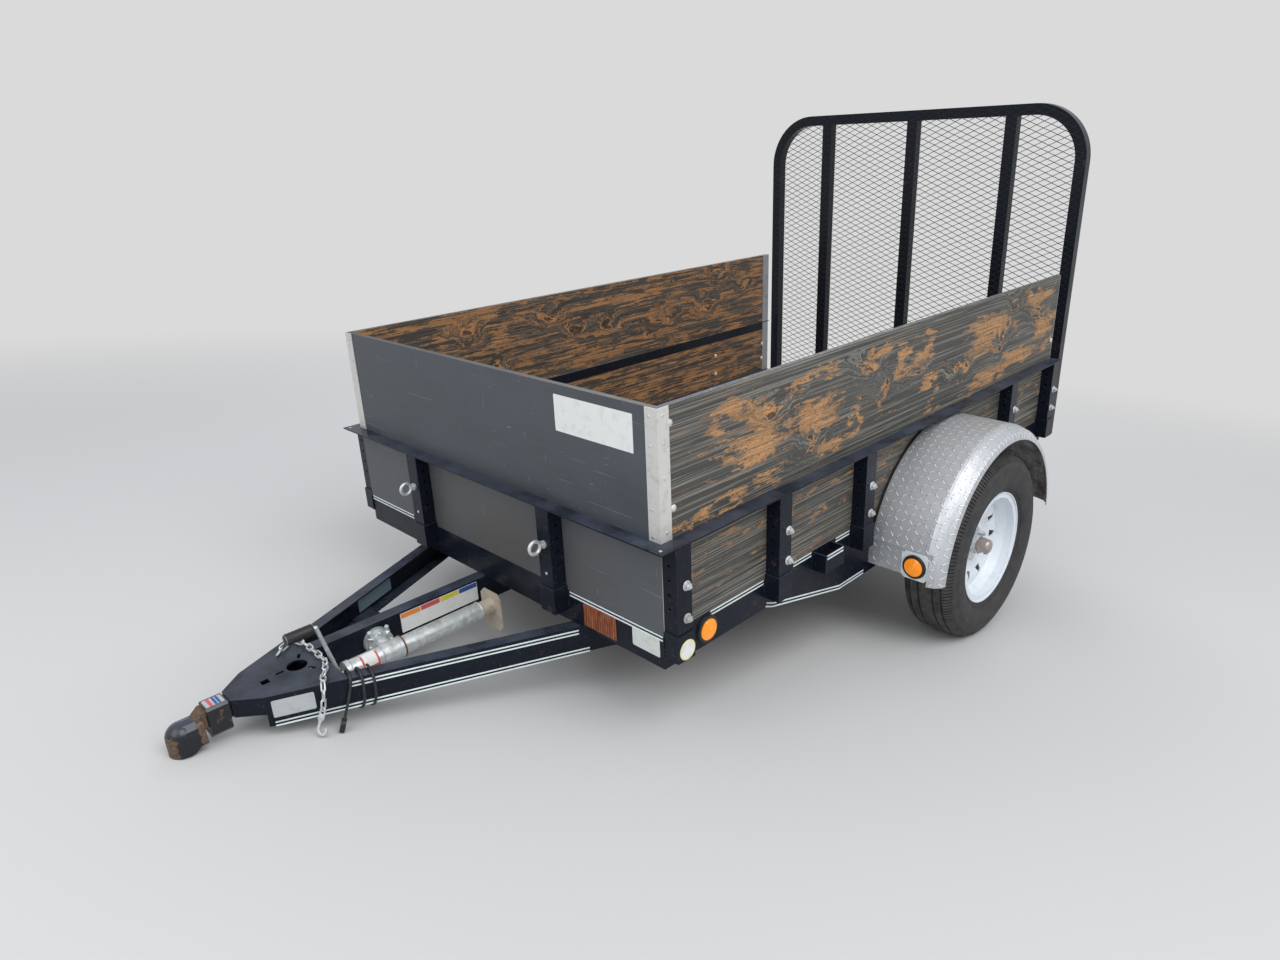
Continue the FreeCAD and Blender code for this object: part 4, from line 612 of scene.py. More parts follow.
def front_boards(stain):
    """Smooth plywood, stained grey-black, scratched, paler and browned low down, with a pale raw end."""
    board = Finish("front_boards", 0.6)
    x, y, z = board.parts()
    fibre = board.noise((60, 5, 380), 3, 0.6)
    cloud = board.noise((2, 2.2, 5), 5, 0.6, 0.6)
    face = board.mix(cloud.span(0.3, 0.72), times(stain, 0.8), times(stain, 1.35))
    face = board.mix(fibre.span(0.45, 0.72) * 0.3, face, shade(84, 85, 86))
    # The lower board is paler, and brown towards its middle.
    low = z.span(0.373, 0.33) * abs(y).span(0.62, 0.1, 0.1, 0.75)
    face = board.mix(z.span(0.373, 0.36, 0.0, 0.3), face, shade(96, 98, 99))
    face = board.mix(low * cloud.span(0.35, 0.65), face, shade(86, 77, 66))
    scratch = board.noise((3, 2.5, 170), 2, 0.5, turn=(0.42, 0, 0))
    scuffs = board.noise((3, 26, 16), 5, 0.65, 0.4, turn=(-0.5, 0, 0))
    nicks = board.noise((3, 90, 13), 2, 0.5, 0.3, turn=(0.9, 0, 0))
    hooks = board.noise((3, 16, 110), 2, 0.5, 0.8, turn=(-0.3, 0, 0))
    marks = scratch.span(0.70, 0.73).most(scuffs.span(0.70, 0.76))
    marks = marks.most(nicks.span(0.715, 0.75).most(hooks.span(0.72, 0.76)))
    face = board.mix(marks * 0.5, face, shade(132, 132, 134))
    # The face towards the load has worn to wood.
    inner = x.span(-0.0175, -0.0185)
    streak = board.noise((9, 5, 90), 4, 0.6, 0.5)
    flame = board.noise((9, 2, 11), 5, 0.6, 1.4) + streak.span(0.3, 0.7, -0.14, 0.14)
    wood = board.mix(flame.span(0.44, 0.62), shade(48, 42, 38), shade(150, 98, 56))
    wood = board.mix(fibre.span(0.45, 0.7) * 0.4, wood, shade(66, 52, 42))
    face = board.mix(inner, face, wood)
    normal = board.normal()
    rubbed = board.mix(cloud.span(0.45, 0.6), shade(44, 45, 48), shade(74, 72, 70))
    plies = board.mix(board.noise((420, 1, 6), 2).span(0.45, 0.58), shade(206, 200, 190), shade(128, 112, 92))
    face = board.mix(normal[2].span(0.9, 0.95), face, rubbed)
    board.use("Base Color", board.mix(abs(normal[1]).span(0.9, 0.95), face, plies))
    board.relief(fibre + marks * -0.6, 0.0008, 0.5)
    board.use("Roughness", cloud.span(0.3, 0.7, 0.42, 0.62))


def deck_planks():
    """Sawn planks, weathered grey brown, with dark grain, knots and grit."""
    plank = Finish("deck_planks", 0.85)
    x, y, z = plank.parts()
    # Each plank has its own stretch of the grain.
    number = ((y + DECK_EDGE) / PLANK_STEP).math("FLOOR")
    shifted = plank.join(x + number * 3.7, y, z)
    grain = plank.noise((1.6, 34, 30), 5, 0.6, 1.2, shifted)
    fibre = plank.noise((8, 420, 300), 3, 0.6, 0.0, shifted)
    knots = plank.cells(1.0, at=plank.stretch((1.9, 5.2, 0.0), shifted))
    grit = plank.noise(120, 3)
    face = plank.mix(grain.span(0.35, 0.65), shade(122, 106, 88), shade(84, 68, 52))
    face = plank.mix(fibre.span(0.45, 0.7) * 0.5, face, shade(150, 134, 112))
    face = plank.mix(knots.span(0.07, 0.045), face, shade(56, 38, 26))
    plank.use("Base Color", plank.mix(grit.span(0.6, 0.68) * 0.5, face, shade(150, 128, 112)))
    plank.relief(fibre + grain * 0.8, 0.0018, 0.8)


def tread_plate():
    """Bright aluminium plate with raised lugs that lean left and right by turns, with painted highlights on the lugs
    and painted shade round their feet, dulled by road dirt.
    """
    metal = Finish("tread_plate", 0.38, 0.6)
    x, y, z = metal.parts()
    ahead, above = x - WHEEL.x, z - WHEEL.z
    # Squares across the plate and round its bend, each with a lug along one or the other diagonal.
    across = y / LUG_STEP
    around = ahead.math("ARCTAN2", above) * FENDER_RADIUS / LUG_STEP
    odd = (across.math("FLOOR") + around.math("FLOOR")).math("PINGPONG", 1.0)
    right = (across.math("FRACT") - 0.5) * odd.span(0.0, 1.0, -1.0, 1.0)
    up = around.math("FRACT") - 0.5
    diagonal = 0.7071
    length, width = 0.42, 0.095
    inside = ((right + up) * diagonal / length) ** 2.0 + ((right - up) * diagonal / width) ** 2.0
    lug = inside.span(1.0, 0.5)
    foot = inside.span(1.8, 1.1) - lug
    # The side that faces the wheel is caked with dirt, and the plate's lower end a little.
    normal = metal.normal()
    away = normal[0] * ahead + normal[2] * above
    soiled = away.span(-0.12, -0.20, 0.0, 0.85).most(z.span(0.02, -0.14, 0.0, 0.22))
    haze = metal.noise(7, 5, 0.6)
    dirt = metal.noise((20, 20, 20), 6, 0.7)
    face = metal.mix(haze.span(0.35, 0.7), shade(200, 204, 210), shade(184, 187, 190))
    face = metal.mix(dirt.span(0.56, 0.72) * 0.22, face, shade(172, 164, 150))
    # Painted shade: a darker ring round the foot of each lug. Painted highlight: the lug itself nearly white.
    face = metal.mix(foot * 0.55, face, shade(116, 114, 112))
    face = metal.mix(lug * 0.85, face, shade(248, 249, 250))
    soil = metal.mix(dirt.span(0.35, 0.65), shade(128, 112, 92), shade(92, 80, 66))
    metal.use("Base Color", metal.mix(soiled * dirt.span(0.3, 0.62, 0.2, 1.0), face, soil))
    metal.use("Roughness", haze.span(0.3, 0.7, 0.34, 0.5))
    metal.relief(lug + metal.noise(300, 2) * 0.04, 0.0016, 1.0)


def galvanised_steel():
    """Zinc coat with soft spangle and pale bloom."""
    zinc = Finish("galvanised_steel", 0.42, 0.5)
    tone = zinc.make("ShaderNodeSeparateColor", {0: zinc.cells(90, "Color")})
    bloom = zinc.noise(22, 4)
    base = zinc.mix(tone, shade(190, 196, 198), shade(216, 221, 222))
    zinc.use("Base Color", zinc.mix(bloom.span(0.5, 0.7) * 0.6, base, shade(150, 146, 136)))
    zinc.use("Roughness", bloom.span(0.3, 0.7, 0.3, 0.55))
    zinc.relief(zinc.noise(240, 2), 0.0004, 0.3)


def plain_paint(name, colour, roughness, soil, amount=0.35, metallic=0.0):
    """A painted or moulded surface with a little soil and unevenness."""
    coat = Finish(name, roughness, metallic)
    patch = coat.noise(30, 5, 0.65)
    coat.use("Base Color", coat.mix(patch.span(0.52, 0.75, 0.0, amount), colour, soil))
    coat.use("Roughness", patch.span(0.3, 0.8, roughness * 0.8, min(1.0, roughness * 1.4)))
    coat.relief(coat.noise(300, 2), 0.0004, 0.2)


def tyre_rubber():
    """Black rubber greyed by dust, more so on the tread, with fine rings round the wall."""
    rubber = Finish("tyre_rubber", 0.8)
    x, _, z = rubber.parts()
    radius = ((x - WHEEL.x) ** 2.0 + (z - WHEEL.z) ** 2.0).math("SQRT")
    patch = rubber.noise(26, 5, 0.65)
    dust = patch.span(0.3, 0.75) * radius.span(0.325, 0.338).span(0.0, 1.0, 0.35, 0.75)
    rubber.use("Base Color", rubber.mix(dust, shade(42, 43, 46), shade(100, 95, 90)))
    wall = radius.span(0.236, 0.240) * radius.span(0.292, 0.288)
    rings = (radius * 1500.0).math("SINE").span(0.1, 0.9) * (wall * 1.2)
    rubber.relief(rings + rubber.noise(200, 3), 0.0008, 0.6)


def ribbed_reflector():
    """Orange-brown plastic, with painted light and dark streaks for the ribs moulded in it, and streaked by dirt
    that has run down.
    """
    lens = Finish("reflector", 0.28)
    streak = lens.noise((1, 210, 9), 3, 0.6)
    patch = lens.noise((1, 40, 30), 4, 0.6)
    # Painted light and shade: the streaks lighten and darken the plastic as the ribs would catch the light.
    base = lens.mix(streak.span(0.36, 0.64), shade(166, 88, 50), shade(92, 46, 28))
    lens.use("Base Color", lens.mix(patch.span(0.5, 0.7) * 0.6, base, shade(150, 112, 84)))
    lens.use("Roughness", patch.span(0.3, 0.7, 0.2, 0.5))
    lens.relief(streak, 0.0008, 0.6)


def lamp_lens(name, colour, painted_glow):
    """Clear coloured plastic over a bright reflector, whose light is a painted glow of the lens's own colour, with
    fine rings pressed into it.
    """
    lens = Finish(name, 0.18)
    lens.use("Base Color", lens.mix(lens.noise(40, 3).span(0.35, 0.7), colour, times(colour, 0.8)))
    # Painted glow: the lens gives off light of its own, standing in for the reflector behind it.
    lens.use("Emission Color", (*colour, 1.0))
    lens.use("Emission Strength", painted_glow)
    lens.use("Coat Weight", 0.6)
    lens.relief(lens.cells(260), 0.0006, 0.5)


def tint(name, description, default):
    return bpy.props.FloatVectorProperty(
        name=name, description=description, subtype="COLOR", size=3, min=0, max=1, default=default)


def distance(name, description, default, low, high):
    return bpy.props.FloatProperty(
        name=name, description=description, default=default, min=low, max=high, unit="LENGTH")


class TrailerPaint(bpy.types.PropertyGroup):
    """Colours of the trailer's painted and stained surfaces."""
    frame_colour: tint("Frame", "Gloss enamel of the steel frame", shade(15, 20, 30))
    stain_colour: tint("Stain", "Stain left on the side boards", shade(50, 52, 52))
    worn_colour: tint("Worn wood", "Wood that shows where the stain has gone", shade(200, 150, 100))
    front_colour: tint("Front boards", "Stain of the front boards", shade(66, 71, 77))
    wheel_colour: tint("Wheels", "Enamel of the wheels", shade(226, 232, 238))


class TrailerTyres(bpy.types.PropertyGroup):
    """Sizes of the tyre's tread."""
    groove_depth: distance("Groove depth", "Depth of the grooves round the tread", 0.007, 0.002, 0.012)
    groove_width: distance("Groove width", "Width of a groove round the tread", 0.007, 0.003, 0.015)
    notch_depth: distance("Notch depth", "Depth of the notches in the shoulders", 0.004, 0.001, 0.01)


class TrailerFastenings(bpy.types.PropertyGroup):
    """Sizes of the bolts, washers and screws."""
    nut_radius: distance("Nut radius", "Radius over the corners of a nut on the uprights", 0.0105, 0.005, 0.02)
    washer_radius: distance("Washer radius", "Radius of a washer on the uprights", 0.0145, 0.006, 0.03)
    screw_radius: distance("Screw radius", "Radius of a screw head in the corner trims", 0.005, 0.002, 0.01)


class TrailerMarks(bpy.types.PropertyGroup):
    """Sizes and colour of the stripes."""
    stripe_width: distance("Stripe width", "Width of one stripe of a pair", 0.0048, 0.002, 0.02)
    stripe_gap: distance("Stripe gap", "Distance between the two stripes of a pair", 0.0060, 0.002, 0.02)
    stripe_colour: tint("Stripe", "Colour of the stripes", shade(222, 232, 232))


PLAIN_FINISHES = (
    # name, colour, roughness, soil, most soil, metal
    ("black_mesh", shade(12, 14, 18), 0.6, shade(36, 36, 38), 0.5, 0.0),
    ("trim_metal", shade(210, 208, 204), 0.45, shade(150, 146, 142), 0.5, 0.3),
    ("jamb_metal", shade(150, 152, 156), 0.5, shade(104, 100, 96), 0.6, 0.3),
    ("foot_metal", shade(190, 180, 164), 0.55, shade(140, 120, 100), 0.6, 0.2),
    ("black_plastic", shade(26, 26, 28), 0.5, shade(70, 66, 62), 0.35, 0.0),
    ("worn_steel", shade(34, 32, 32), 0.4, shade(110, 84, 60), 0.8, 0.4),
    ("rusted_weld", shade(120, 84, 62), 0.75, shade(70, 46, 34), 1.0, 0.2),
    ("lead_jacket", shade(34, 36, 42), 0.55, shade(84, 78, 72), 0.5, 0.0),
    ("dust_cap", shade(176, 166, 158), 0.35, shade(120, 92, 78), 0.9, 0.7),
    ("label_white", shade(228, 229, 226), 0.5, shade(190, 190, 186), 0.5, 0.0),
    ("label_grey", shade(206, 212, 206), 0.5, shade(160, 162, 152), 0.5, 0.0),
    ("label_orange", shade(232, 142, 70), 0.5, shade(200, 120, 66), 0.5, 0.0),
    ("label_red", shade(206, 88, 84), 0.5, shade(168, 72, 66), 0.5, 0.0),
    ("label_yellow", shade(222, 206, 70), 0.5, shade(190, 170, 70), 0.5, 0.0),
    ("label_blue", shade(44, 82, 152), 0.5, shade(50, 70, 120), 0.5, 0.0),
    ("label_slate", shade(122, 142, 154), 0.4, shade(90, 104, 114), 0.5, 0.2),
    ("label_cream", shade(232, 222, 150), 0.5, shade(206, 190, 140), 0.5, 0.0),
    ("label_silver", shade(186, 190, 192), 0.4, shade(140, 138, 136), 0.5, 0.3),
)
SOLIDS = {
    "painted_steel": ("perimeter_frame", "crossmembers", "mid_rail", "uprights", "stake_pockets", "tongue_leg_left",
                      "tongue_leg_right", "tongue_centre", "tongue_gusset", "coupler_plate", "leaf_springs",
                      "spring_hangers", "side_plates", "axle", "axle_clamps", "gate_frame", "gate_bars",
                      "gate_hinges"),
    "black_mesh": ("gate_mesh",),
    "worn_coupler": ("coupler_head", "coupler_collar"),
    "side_boards": ("lower_board_left", "lower_board_right", "upper_board_left", "upper_board_right"),
    "front_boards": ("lower_board_front", "upper_board_front"),
    "deck_planks": ("deck_boards",),
    "tread_plate": ("fender_left", "fender_right"),
    "galvanised_steel": ("jack_mount", "jack_outer", "jack_crank", "eye_bolts", "hub_left", "hub_right",
                         "safety_chain"),
    "black_plastic": ("wiring_lead", "wiring_plug", "lamp_grommets"),
    "white_mark": ("lamp_plates",),
    "trim_metal": ("corner_trims",),
    "jamb_metal": ("end_jambs",),
    "foot_metal": ("jack_foot",),
    "white_enamel": ("rim_left", "rim_right"),
    "tyre_rubber": ("tyre_left", "tyre_right"),
    "amber_lens": ("marker_lamps",),
    "red_lens": ("tail_lamps",),
}


class TRAILER_OT_finishes(bpy.types.Operator):
    """Makes the finishes and gives every solid of the trailer its own"""
    bl_idname = "trailer.finishes"
    bl_label = "Finishes"

    def execute(self, context):
        paint = context.scene.trailer_paint
        painted_steel(tuple(paint.frame_colour))
        worn_coupler(shade(18, 22, 28))
        side_boards(tuple(paint.stain_colour), tuple(paint.worn_colour))
        front_boards(tuple(paint.front_colour))
        deck_planks()
        tread_plate()
        galvanised_steel()
        tyre_rubber()
        ribbed_reflector()
        # The last number is each lens's painted glow.
        lamp_lens("amber_lens", shade(244, 140, 0), 0.35)
        lamp_lens("red_lens", shade(150, 16, 14), 0.1)
        plain_paint("white_enamel", tuple(paint.wheel_colour), 0.35, shade(168, 160, 150))
        plain_paint("white_mark", tuple(context.scene.trailer_marks.stripe_colour), 0.5, shade(160, 160, 154), 0.4)
        for row in PLAIN_FINISHES:
            plain_paint(*row)
        for finish, names in SOLIDS.items():
            for name in names:
                materials = frame["nodes"][name].data.materials
                materials.clear()
                materials.append(MATERIALS[finish])
        return {"FINISHED"}


LAMPS = (
    # name, place, watts, size: each is aimed at the trailer's middle
    ("key", (1.5, 5.5, 6.5), 390, 6.0),
    ("front", (6.0, 1.0, 4.0), 150, 5.0),
    ("back", (-5.0, -4.0, 5.0), 160, 5.0),
)
AIM = Vector((0, 0, 0.5))
CAMERA_PLACE = (1.40339, 2.16522, 1.32231)
CAMERA_TURN = (68.6170, 2.2881, 135.1673)


class TRAILER_OT_stage(bpy.types.Operator):
    """Sets the floor, the soft studio light and the camera"""
    bl_idname = "trailer.stage"
    bl_label = "Stage"

    def execute(self, context):
        scene = context.scene
        scene.view_settings.view_transform = "Standard"
        deselect()
        bpy.ops.mesh.primitive_plane_add(size=60, location=ORIGIN)
        floor = context.object
        floor.name = "floor"
        ground = bpy.data.materials.new("floor")
        ground.use_nodes = True
        tree = ground.node_tree
        shader = tree.nodes["Principled BSDF"]
        feed(tree, shader.inputs["Base Color"], (0.60, 0.60, 0.595, 1))
        feed(tree, shader.inputs["Roughness"], 0.9)
        # Far from the trailer the floor gives way to the backdrop, without a line between them.
        place = add_node(tree, "ShaderNodeTexCoord", {}).outputs["Object"]
        away = add_node(tree, "ShaderNodeVectorMath", {0: place}, operation="LENGTH").outputs["Value"]
        fade = add_node(tree, "ShaderNodeMapRange", {"Value": away, "From Min": 2.6, "From Max": 9.0},
                        interpolation_type="SMOOTHSTEP").outputs[0]
        clear = add_node(tree, "ShaderNodeBsdfTransparent", {}).outputs[0]
        blend = add_node(tree, "ShaderNodeMixShader", {0: fade, 1: shader.outputs[0], 2: clear})
        feed(tree, tree.nodes["Material Output"].inputs[0], blend.outputs[0])
        floor.data.materials.append(ground)

        world = bpy.data.worlds.new("studio")
        world.use_nodes = True
        scene.world = world
        tree = world.node_tree
        sky = tree.nodes["Background"]
        feed(tree, sky.inputs["Color"], (0.86, 0.9, 0.97, 1))
        feed(tree, sky.inputs["Strength"], 0.62)
        backdrop = add_node(tree, "ShaderNodeBackground", {"Color": (0.70, 0.70, 0.70, 1)})
        rays = add_node(tree, "ShaderNodeLightPath", {}).outputs
        seen = rays["Is Camera Ray"]
        for kind in ("Is Glossy Ray", "Is Transmission Ray"):
            seen = add_node(tree, "ShaderNodeMath", {0: seen, 1: rays[kind]}, operation="ADD",
                            use_clamp=True).outputs[0]
        blend = add_node(tree, "ShaderNodeMixShader", {0: seen, 1: sky.outputs[0], 2: backdrop.outputs[0]})
        feed(tree, tree.nodes["World Output"].inputs[0], blend.outputs[0])
        for name, place, watts, size in LAMPS:
            bpy.ops.object.light_add(type="AREA", location=place)
            lamp = context.object
            lamp.name = name
            lamp.data.energy = watts
            lamp.data.size = size
            lamp.rotation_euler = (AIM - Vector(place)).to_track_quat("-Z", "Y").to_euler()

        turn = Euler([math.radians(angle) for angle in CAMERA_TURN]).to_matrix().to_4x4()
        bpy.ops.object.camera_add()
        camera = context.object
        camera.name = "camera"
        camera.matrix_world = STANCE @ Matrix.Translation(CAMERA_PLACE) @ turn
        camera.data.sensor_width = 36.0
        camera.data.lens = 24.3139
        scene.camera = camera
        return {"FINISHED"}


def half_tyre(depth, width):
    """The outline of half a tyre's wall, from the middle of the tread to the bead, as (radius, off the middle)."""
    ribs = []
    for middle in (0.026, 0.058):
        ribs += [(0.3426, middle - width / 2), (0.3422 - depth, middle - width / 2 + 0.0008),
                 (0.3420 - depth, middle + width / 2 - 0.0008), (0.3418, middle + width / 2)]
    return [(0.3430, 0.0), *ribs,
            (0.3400, 0.0680), (0.3375, 0.0740), (0.3330, 0.0800), (0.3270, 0.0850), (0.3190, 0.0892),
            (0.3080, 0.0940), (0.2966, 0.0977), (0.2960, 0.0992), (0.2940, 0.0996), (0.2932, 0.0986),
            (0.2860, 0.1000), (0.2740, 0.1010), (0.2620, 0.1003), (0.2480, 0.0975), (0.2350, 0.0925),
            (0.2250, 0.0862), (0.2242, 0.0874), (0.2222, 0.0870), (0.2214, 0.0832), (0.2150, 0.0798),
            (0.2095, 0.0745), (0.2070, 0.0697), (0.1915, 0.0694), (0.1908, 0.0680), (0.1908, 0.0570)]


class TRAILER_OT_tyres(bpy.types.Operator):
    """Models the tyres with ribs, grooves round the tread and notched shoulders"""
    bl_idname = "trailer.tyres"
    bl_label = "Tyres"

    def execute(self, context):
        sizes = context.scene.trailer_tyres
        outer = half_tyre(sizes.groove_depth, sizes.groove_width)
        inner = [(0.3080, 0.0), (0.3080, 0.0770), (0.2740, 0.0920), (0.2350, 0.0800)]
        profile = ([(r, -y) for r, y in reversed(outer[1:])] + outer + inner[::-1]
                   + [(r, -y) for r, y in inner[1:]])
        pitches = 156
        for name, side in SIDES:
            piece = begin(f"tyre_rubber_{name}")
            centre = Vector((WHEEL.x, side * TRACK_HALF, WHEEL.z))
            turned(profile, centre, OUT, 3 * pitches, closed=True)

            def notched(place):
                """Whether a face lies on a shoulder, in the first third of its pitch."""
                place = place - centre
                radius = math.hypot(place.x, place.z)
                sector = math.floor(math.atan2(place.z, place.x) / math.tau * 3 * pitches + 0.01)
                return radius > 0.3195 and abs(place.y) > 0.0640 and sector % 3 == 0

            choose(piece, "FACE", notched)
            bpy.ops.mesh.extrude_region_shrink_fatten(TRANSFORM_OT_shrink_fatten={"value": -sizes.notch_depth})
            settle(piece, f"wheel_{name}", "tyre_rubber", 25)
            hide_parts(f"tyre_{name}")
        return {"FINISHED"}


STUD_RADIUS = 0.05715
VALVE_PLACE = Vector((0.1270, 0, -0.1240))
# Outlines as (radius, place out from the wheel's middle).
DUST_CAP = (
    (0.0, 0.0746), (0.0100, 0.0743), (0.0170, 0.0729), (0.0225, 0.0702), (0.0254, 0.0662), (0.0264, 0.0580),
    (0.0268, 0.0470), (0.0288, 0.0462), (0.0288, 0.0438), (0.0270, 0.0430), (0.0274, 0.0345), (0.0304, 0.0336),
    (0.0306, 0.0310), (0.0, 0.0310),
)
VALVE = (
    (0.0, 0.0260), (0.0062, 0.0260), (0.0064, 0.0380), (0.0046, 0.0400), (0.0042, 0.0520), (0.0050, 0.0526),
    (0.0050, 0.0600), (0.0038, 0.0616), (0.0, 0.0618),
)


class TRAILER_OT_wheel_nuts(bpy.types.Operator):
    """Adds the wheel nuts with their studs, the dust caps and the tyre valves"""
    bl_idname = "trailer.wheel_nuts"
    bl_label = "Wheel nuts"

    def execute(self, context):
        for name, side in SIDES:
            middle = Vector((WHEEL.x, side * TRACK_HALF, WHEEL.z))
            out = Vector((0, side, 0))
            nut = begin(f"wheel_nuts_{name}")
            turned([(0.0, 0.0004), (0.0136, 0.0004), (0.0128, 0.0030), (0.0, 0.0030)], ORIGIN, UP, 24)
            rod((0, 0, 0.0028), (0, 0, 0.0196), 0.0116, 6)
            rod((0, 0, 0.0190), (0, 0, 0.0250), 0.0060, 16)
            round_edges(nut, 0.0012)
            places = []
            for index in range(5):
                angle = math.radians(90 + 72 * index)
                spot = Vector((side * math.cos(angle), 0, math.sin(angle))) * STUD_RADIUS
                places.append(facing(middle + spot, out))
            settle(copies(nut, places), f"wheel_{name}", "galvanised_steel")

            lathe(f"dust_cap_{name}", DUST_CAP, middle, out, 48, f"wheel_{name}", "dust_cap")
            lathe(f"valve_{name}", VALVE, middle + VALVE_PLACE, out, 20, f"wheel_{name}", "black_plastic")
        return {"FINISHED"}


BOLTS = (
    # x and height, on both sides
    (-0.040, 0.256), (-0.040, 0.160), (-0.480, 0.256), (-0.480, 0.160), (-0.931, 0.256), (-0.931, 0.160),
    (-2.003, 0.256), (-2.003, 0.160), (-2.397, 0.252), (-2.394, 0.171),
)


class TRAILER_OT_bolts(bpy.types.Operator):
    """Adds the bolts that hold the boards to the uprights, and the round heads inside"""
    bl_idname = "trailer.bolts"
    bl_label = "Bolts"

    def execute(self, context):
        sizes = context.scene.trailer_fastenings
        nut = begin("upright_bolts")
        turned([(0.0, 0.0), (sizes.washer_radius, 0.0), (sizes.washer_radius, 0.0014),
                (sizes.washer_radius - 0.0012, 0.0022), (0.0, 0.0022)], ORIGIN, UP, 28)
        rod((0, 0, 0.0020), (0, 0, 0.0108), sizes.nut_radius, 6)
        rod((0, 0, 0.0100), (0, 0, 0.0168), 0.0046, 14)
        round_edges(nut, 0.0009)
        places = on_both_sides([(x, UPRIGHT_FACE, z) for x, z in BOLTS], OUT)
        settle(copies(nut, places), "trailer", "galvanised_steel")

        dome = begin("board_bolts")
        turned([(0.0, 0.0052), (0.0040, 0.0048), (0.0078, 0.0034), (0.0102, 0.0012), (0.0104, 0.0), (0.0, 0.0)],
               ORIGIN, UP, 24)
        thick = 0.019
        places = on_both_sides([(x, HALF_WIDTH - thick, z) for x, z in BOLTS], IN)
        places += on_both_sides([(-thick, FRONT_UPRIGHT, z) for z in (0.164, 0.258)], BACK)
        places += on_both_sides([(x, HALF_WIDTH, z) for x, z in ((-0.043, 0.683), (-0.049, 0.456), (-2.425, 0.456))],
                                OUT)
        settle(copies(dome, places), "trailer", "trim_metal")
        return {"FINISHED"}


class TRAILER_OT_screws(bpy.types.Operator):
    """Adds the screws of the corner trims, the end jambs and the deck"""
    bl_idname = "trailer.screws"
    bl_label = "Screws"

    def execute(self, context):
        radius = context.scene.trailer_fastenings.screw_radius
        head = [(radius * share, height) for share, height in (
            (0.0, 0.0010), (0.28, 0.0010), (0.32, 0.0019), (0.62, 0.0018), (0.92, 0.0010), (1.0, 0.0002),
            (0.98, -0.0004), (0.0, -0.0004))]
        screw = begin("trim_screws")
        turned(head, ORIGIN, UP, 16)
        trim = 0.0023
        places = on_both_sides([(trim, 0.750, z) for z in (0.707, 0.631, 0.461, 0.385)], AHEAD)
        places += on_both_sides([(0.0480, FRONT_UPRIGHT, 0.164)], AHEAD)
        places += on_both_sides([(0.030, 0.802, 0.3727)], UP)
        places += on_both_sides([(x, HALF_WIDTH + trim, z) for x, z in (
            (-0.019, 0.709), (-0.020, 0.637), (-0.018, 0.547), (-0.021, 0.397))], OUT)
        places += on_both_sides([(-2.4433, 0.764, z) for z in (0.14, 0.24, 0.34, 0.40, 0.55, 0.70)], BACK)
        settle(copies(screw, places), "trailer", "galvanised_steel")

        low, high = level_box("deck_boards")
        step = (high.y - low.y) / PLANKS
        screw = begin("deck_screws")
        turned(head, ORIGIN, UP, 10)
        places = [facing((x, low.y + step * (index + share), high.z), UP)
                  for x in (-0.060, -0.380, -0.800, -1.220, -1.640, -2.060, -2.390)
                  for index in range(PLANKS) for share in (0.24, 0.77)]
        settle(copies(screw, places), "trailer", "worn_steel")
        return {"FINISHED"}


STRIPES = (
    # face, line of (along, up) that the pair follows
    ("left", ((-0.186, 0.092), (-0.426, 0.092))),
    ("left", ((-0.575, 0.092), (-0.672, 0.092))),
    ("left", ((-0.806, 0.092), (-0.889, 0.092))),
    ("left_pocket", ((-0.681, 0.092), (-0.770, 0.092))),
    ("left", ((-0.440, 0.010), (-0.473, -0.004), (-0.841, -0.094), (-0.990, -0.094))),
    ("front", ((0.391, 0.0925), (0.770, 0.0925))),
    ("front", ((-0.475, 0.0925), (-0.770, 0.0925))),
    ("leg_left", ((0.010, -0.018), (0.700, -0.018))),
    ("leg_left", ((-0.020, -0.084), (0.860, -0.085))),
)
MIRRORED = {"left": "right", "left_pocket": "right_pocket", "leg_left": "leg_right"}


class TRAILER_OT_stripes(bpy.types.Operator):
    """Lays the pairs of pale stripes along the rails, the side plates and the tongue"""
    bl_idname = "trailer.stripes"
    bl_label = "Stripes"

    def execute(self, context):
        marks = context.scene.trailer_marks
        piece = begin("stripes")
        off = (marks.stripe_width + marks.stripe_gap) / 2
        rows = [*STRIPES, *((MIRRORED[face], points) for face, points in STRIPES if face in MIRRORED)]
        for face, points in rows:
            for shift in (-off, off):
                ribbon(FACES[face], points, shift, marks.stripe_width, 0.0004)
        settle(piece, "trailer", "white_mark")
        return {"FINISHED"}


LABELS = (
    # name, face, low corner, high corner, corner radius, lift, finish: every one is blank
    ("board_label", "front", (0.386, 0.597), (0.690, 0.701), 0.002, 0.0, "label_white"),
    ("rail_label", "front", (0.653, 0.030), (0.758, 0.085), 0.004, 0.0, "label_grey"),
    ("web_label", "web", (0.038, -0.072), (0.322, -0.006), 0.003, 0.0, "label_white"),
    ("web_head_orange", "web", (0.252, -0.0235), (0.3205, -0.0075), 0.001, 0.0004, "label_orange"),
    ("web_head_red", "web", (0.181, -0.0235), (0.249, -0.0075), 0.001, 0.0004, "label_red"),
    ("web_head_yellow", "web", (0.110, -0.0235), (0.178, -0.0075), 0.001, 0.0004, "label_yellow"),
    ("web_head_blue", "web", (0.0395, -0.0235), (0.107, -0.0075), 0.001, 0.0004, "label_blue"),
    ("leg_label", "leg_far", (0.215, -0.074), (0.385, -0.012), 0.003, 0.0, "label_slate"),
    ("skirt_label", "skirt", (0.752, -0.062), (0.860, -0.010), 0.004, 0.0, "label_silver"),
    ("collar_label", "collar", (0.875, -0.019), (0.923, 0.021), 0.003, 0.0, "label_silver"),
    ("collar_bar_blue", "collar", (0.893, -0.018), (0.899, 0.020), 0.0008, 0.0004, "label_blue"),
    ("collar_bar_dark", "collar", (0.884, -0.018), (0.890, 0.020), 0.0008, 0.0004, "label_blue"),
    ("collar_bar_red", "collar", (0.905, -0.018), (0.913, 0.020), 0.0008, 0.0004, "label_red"),
)
STICKER_PLACE = (-0.034, POCKET_FACE, 0.069)


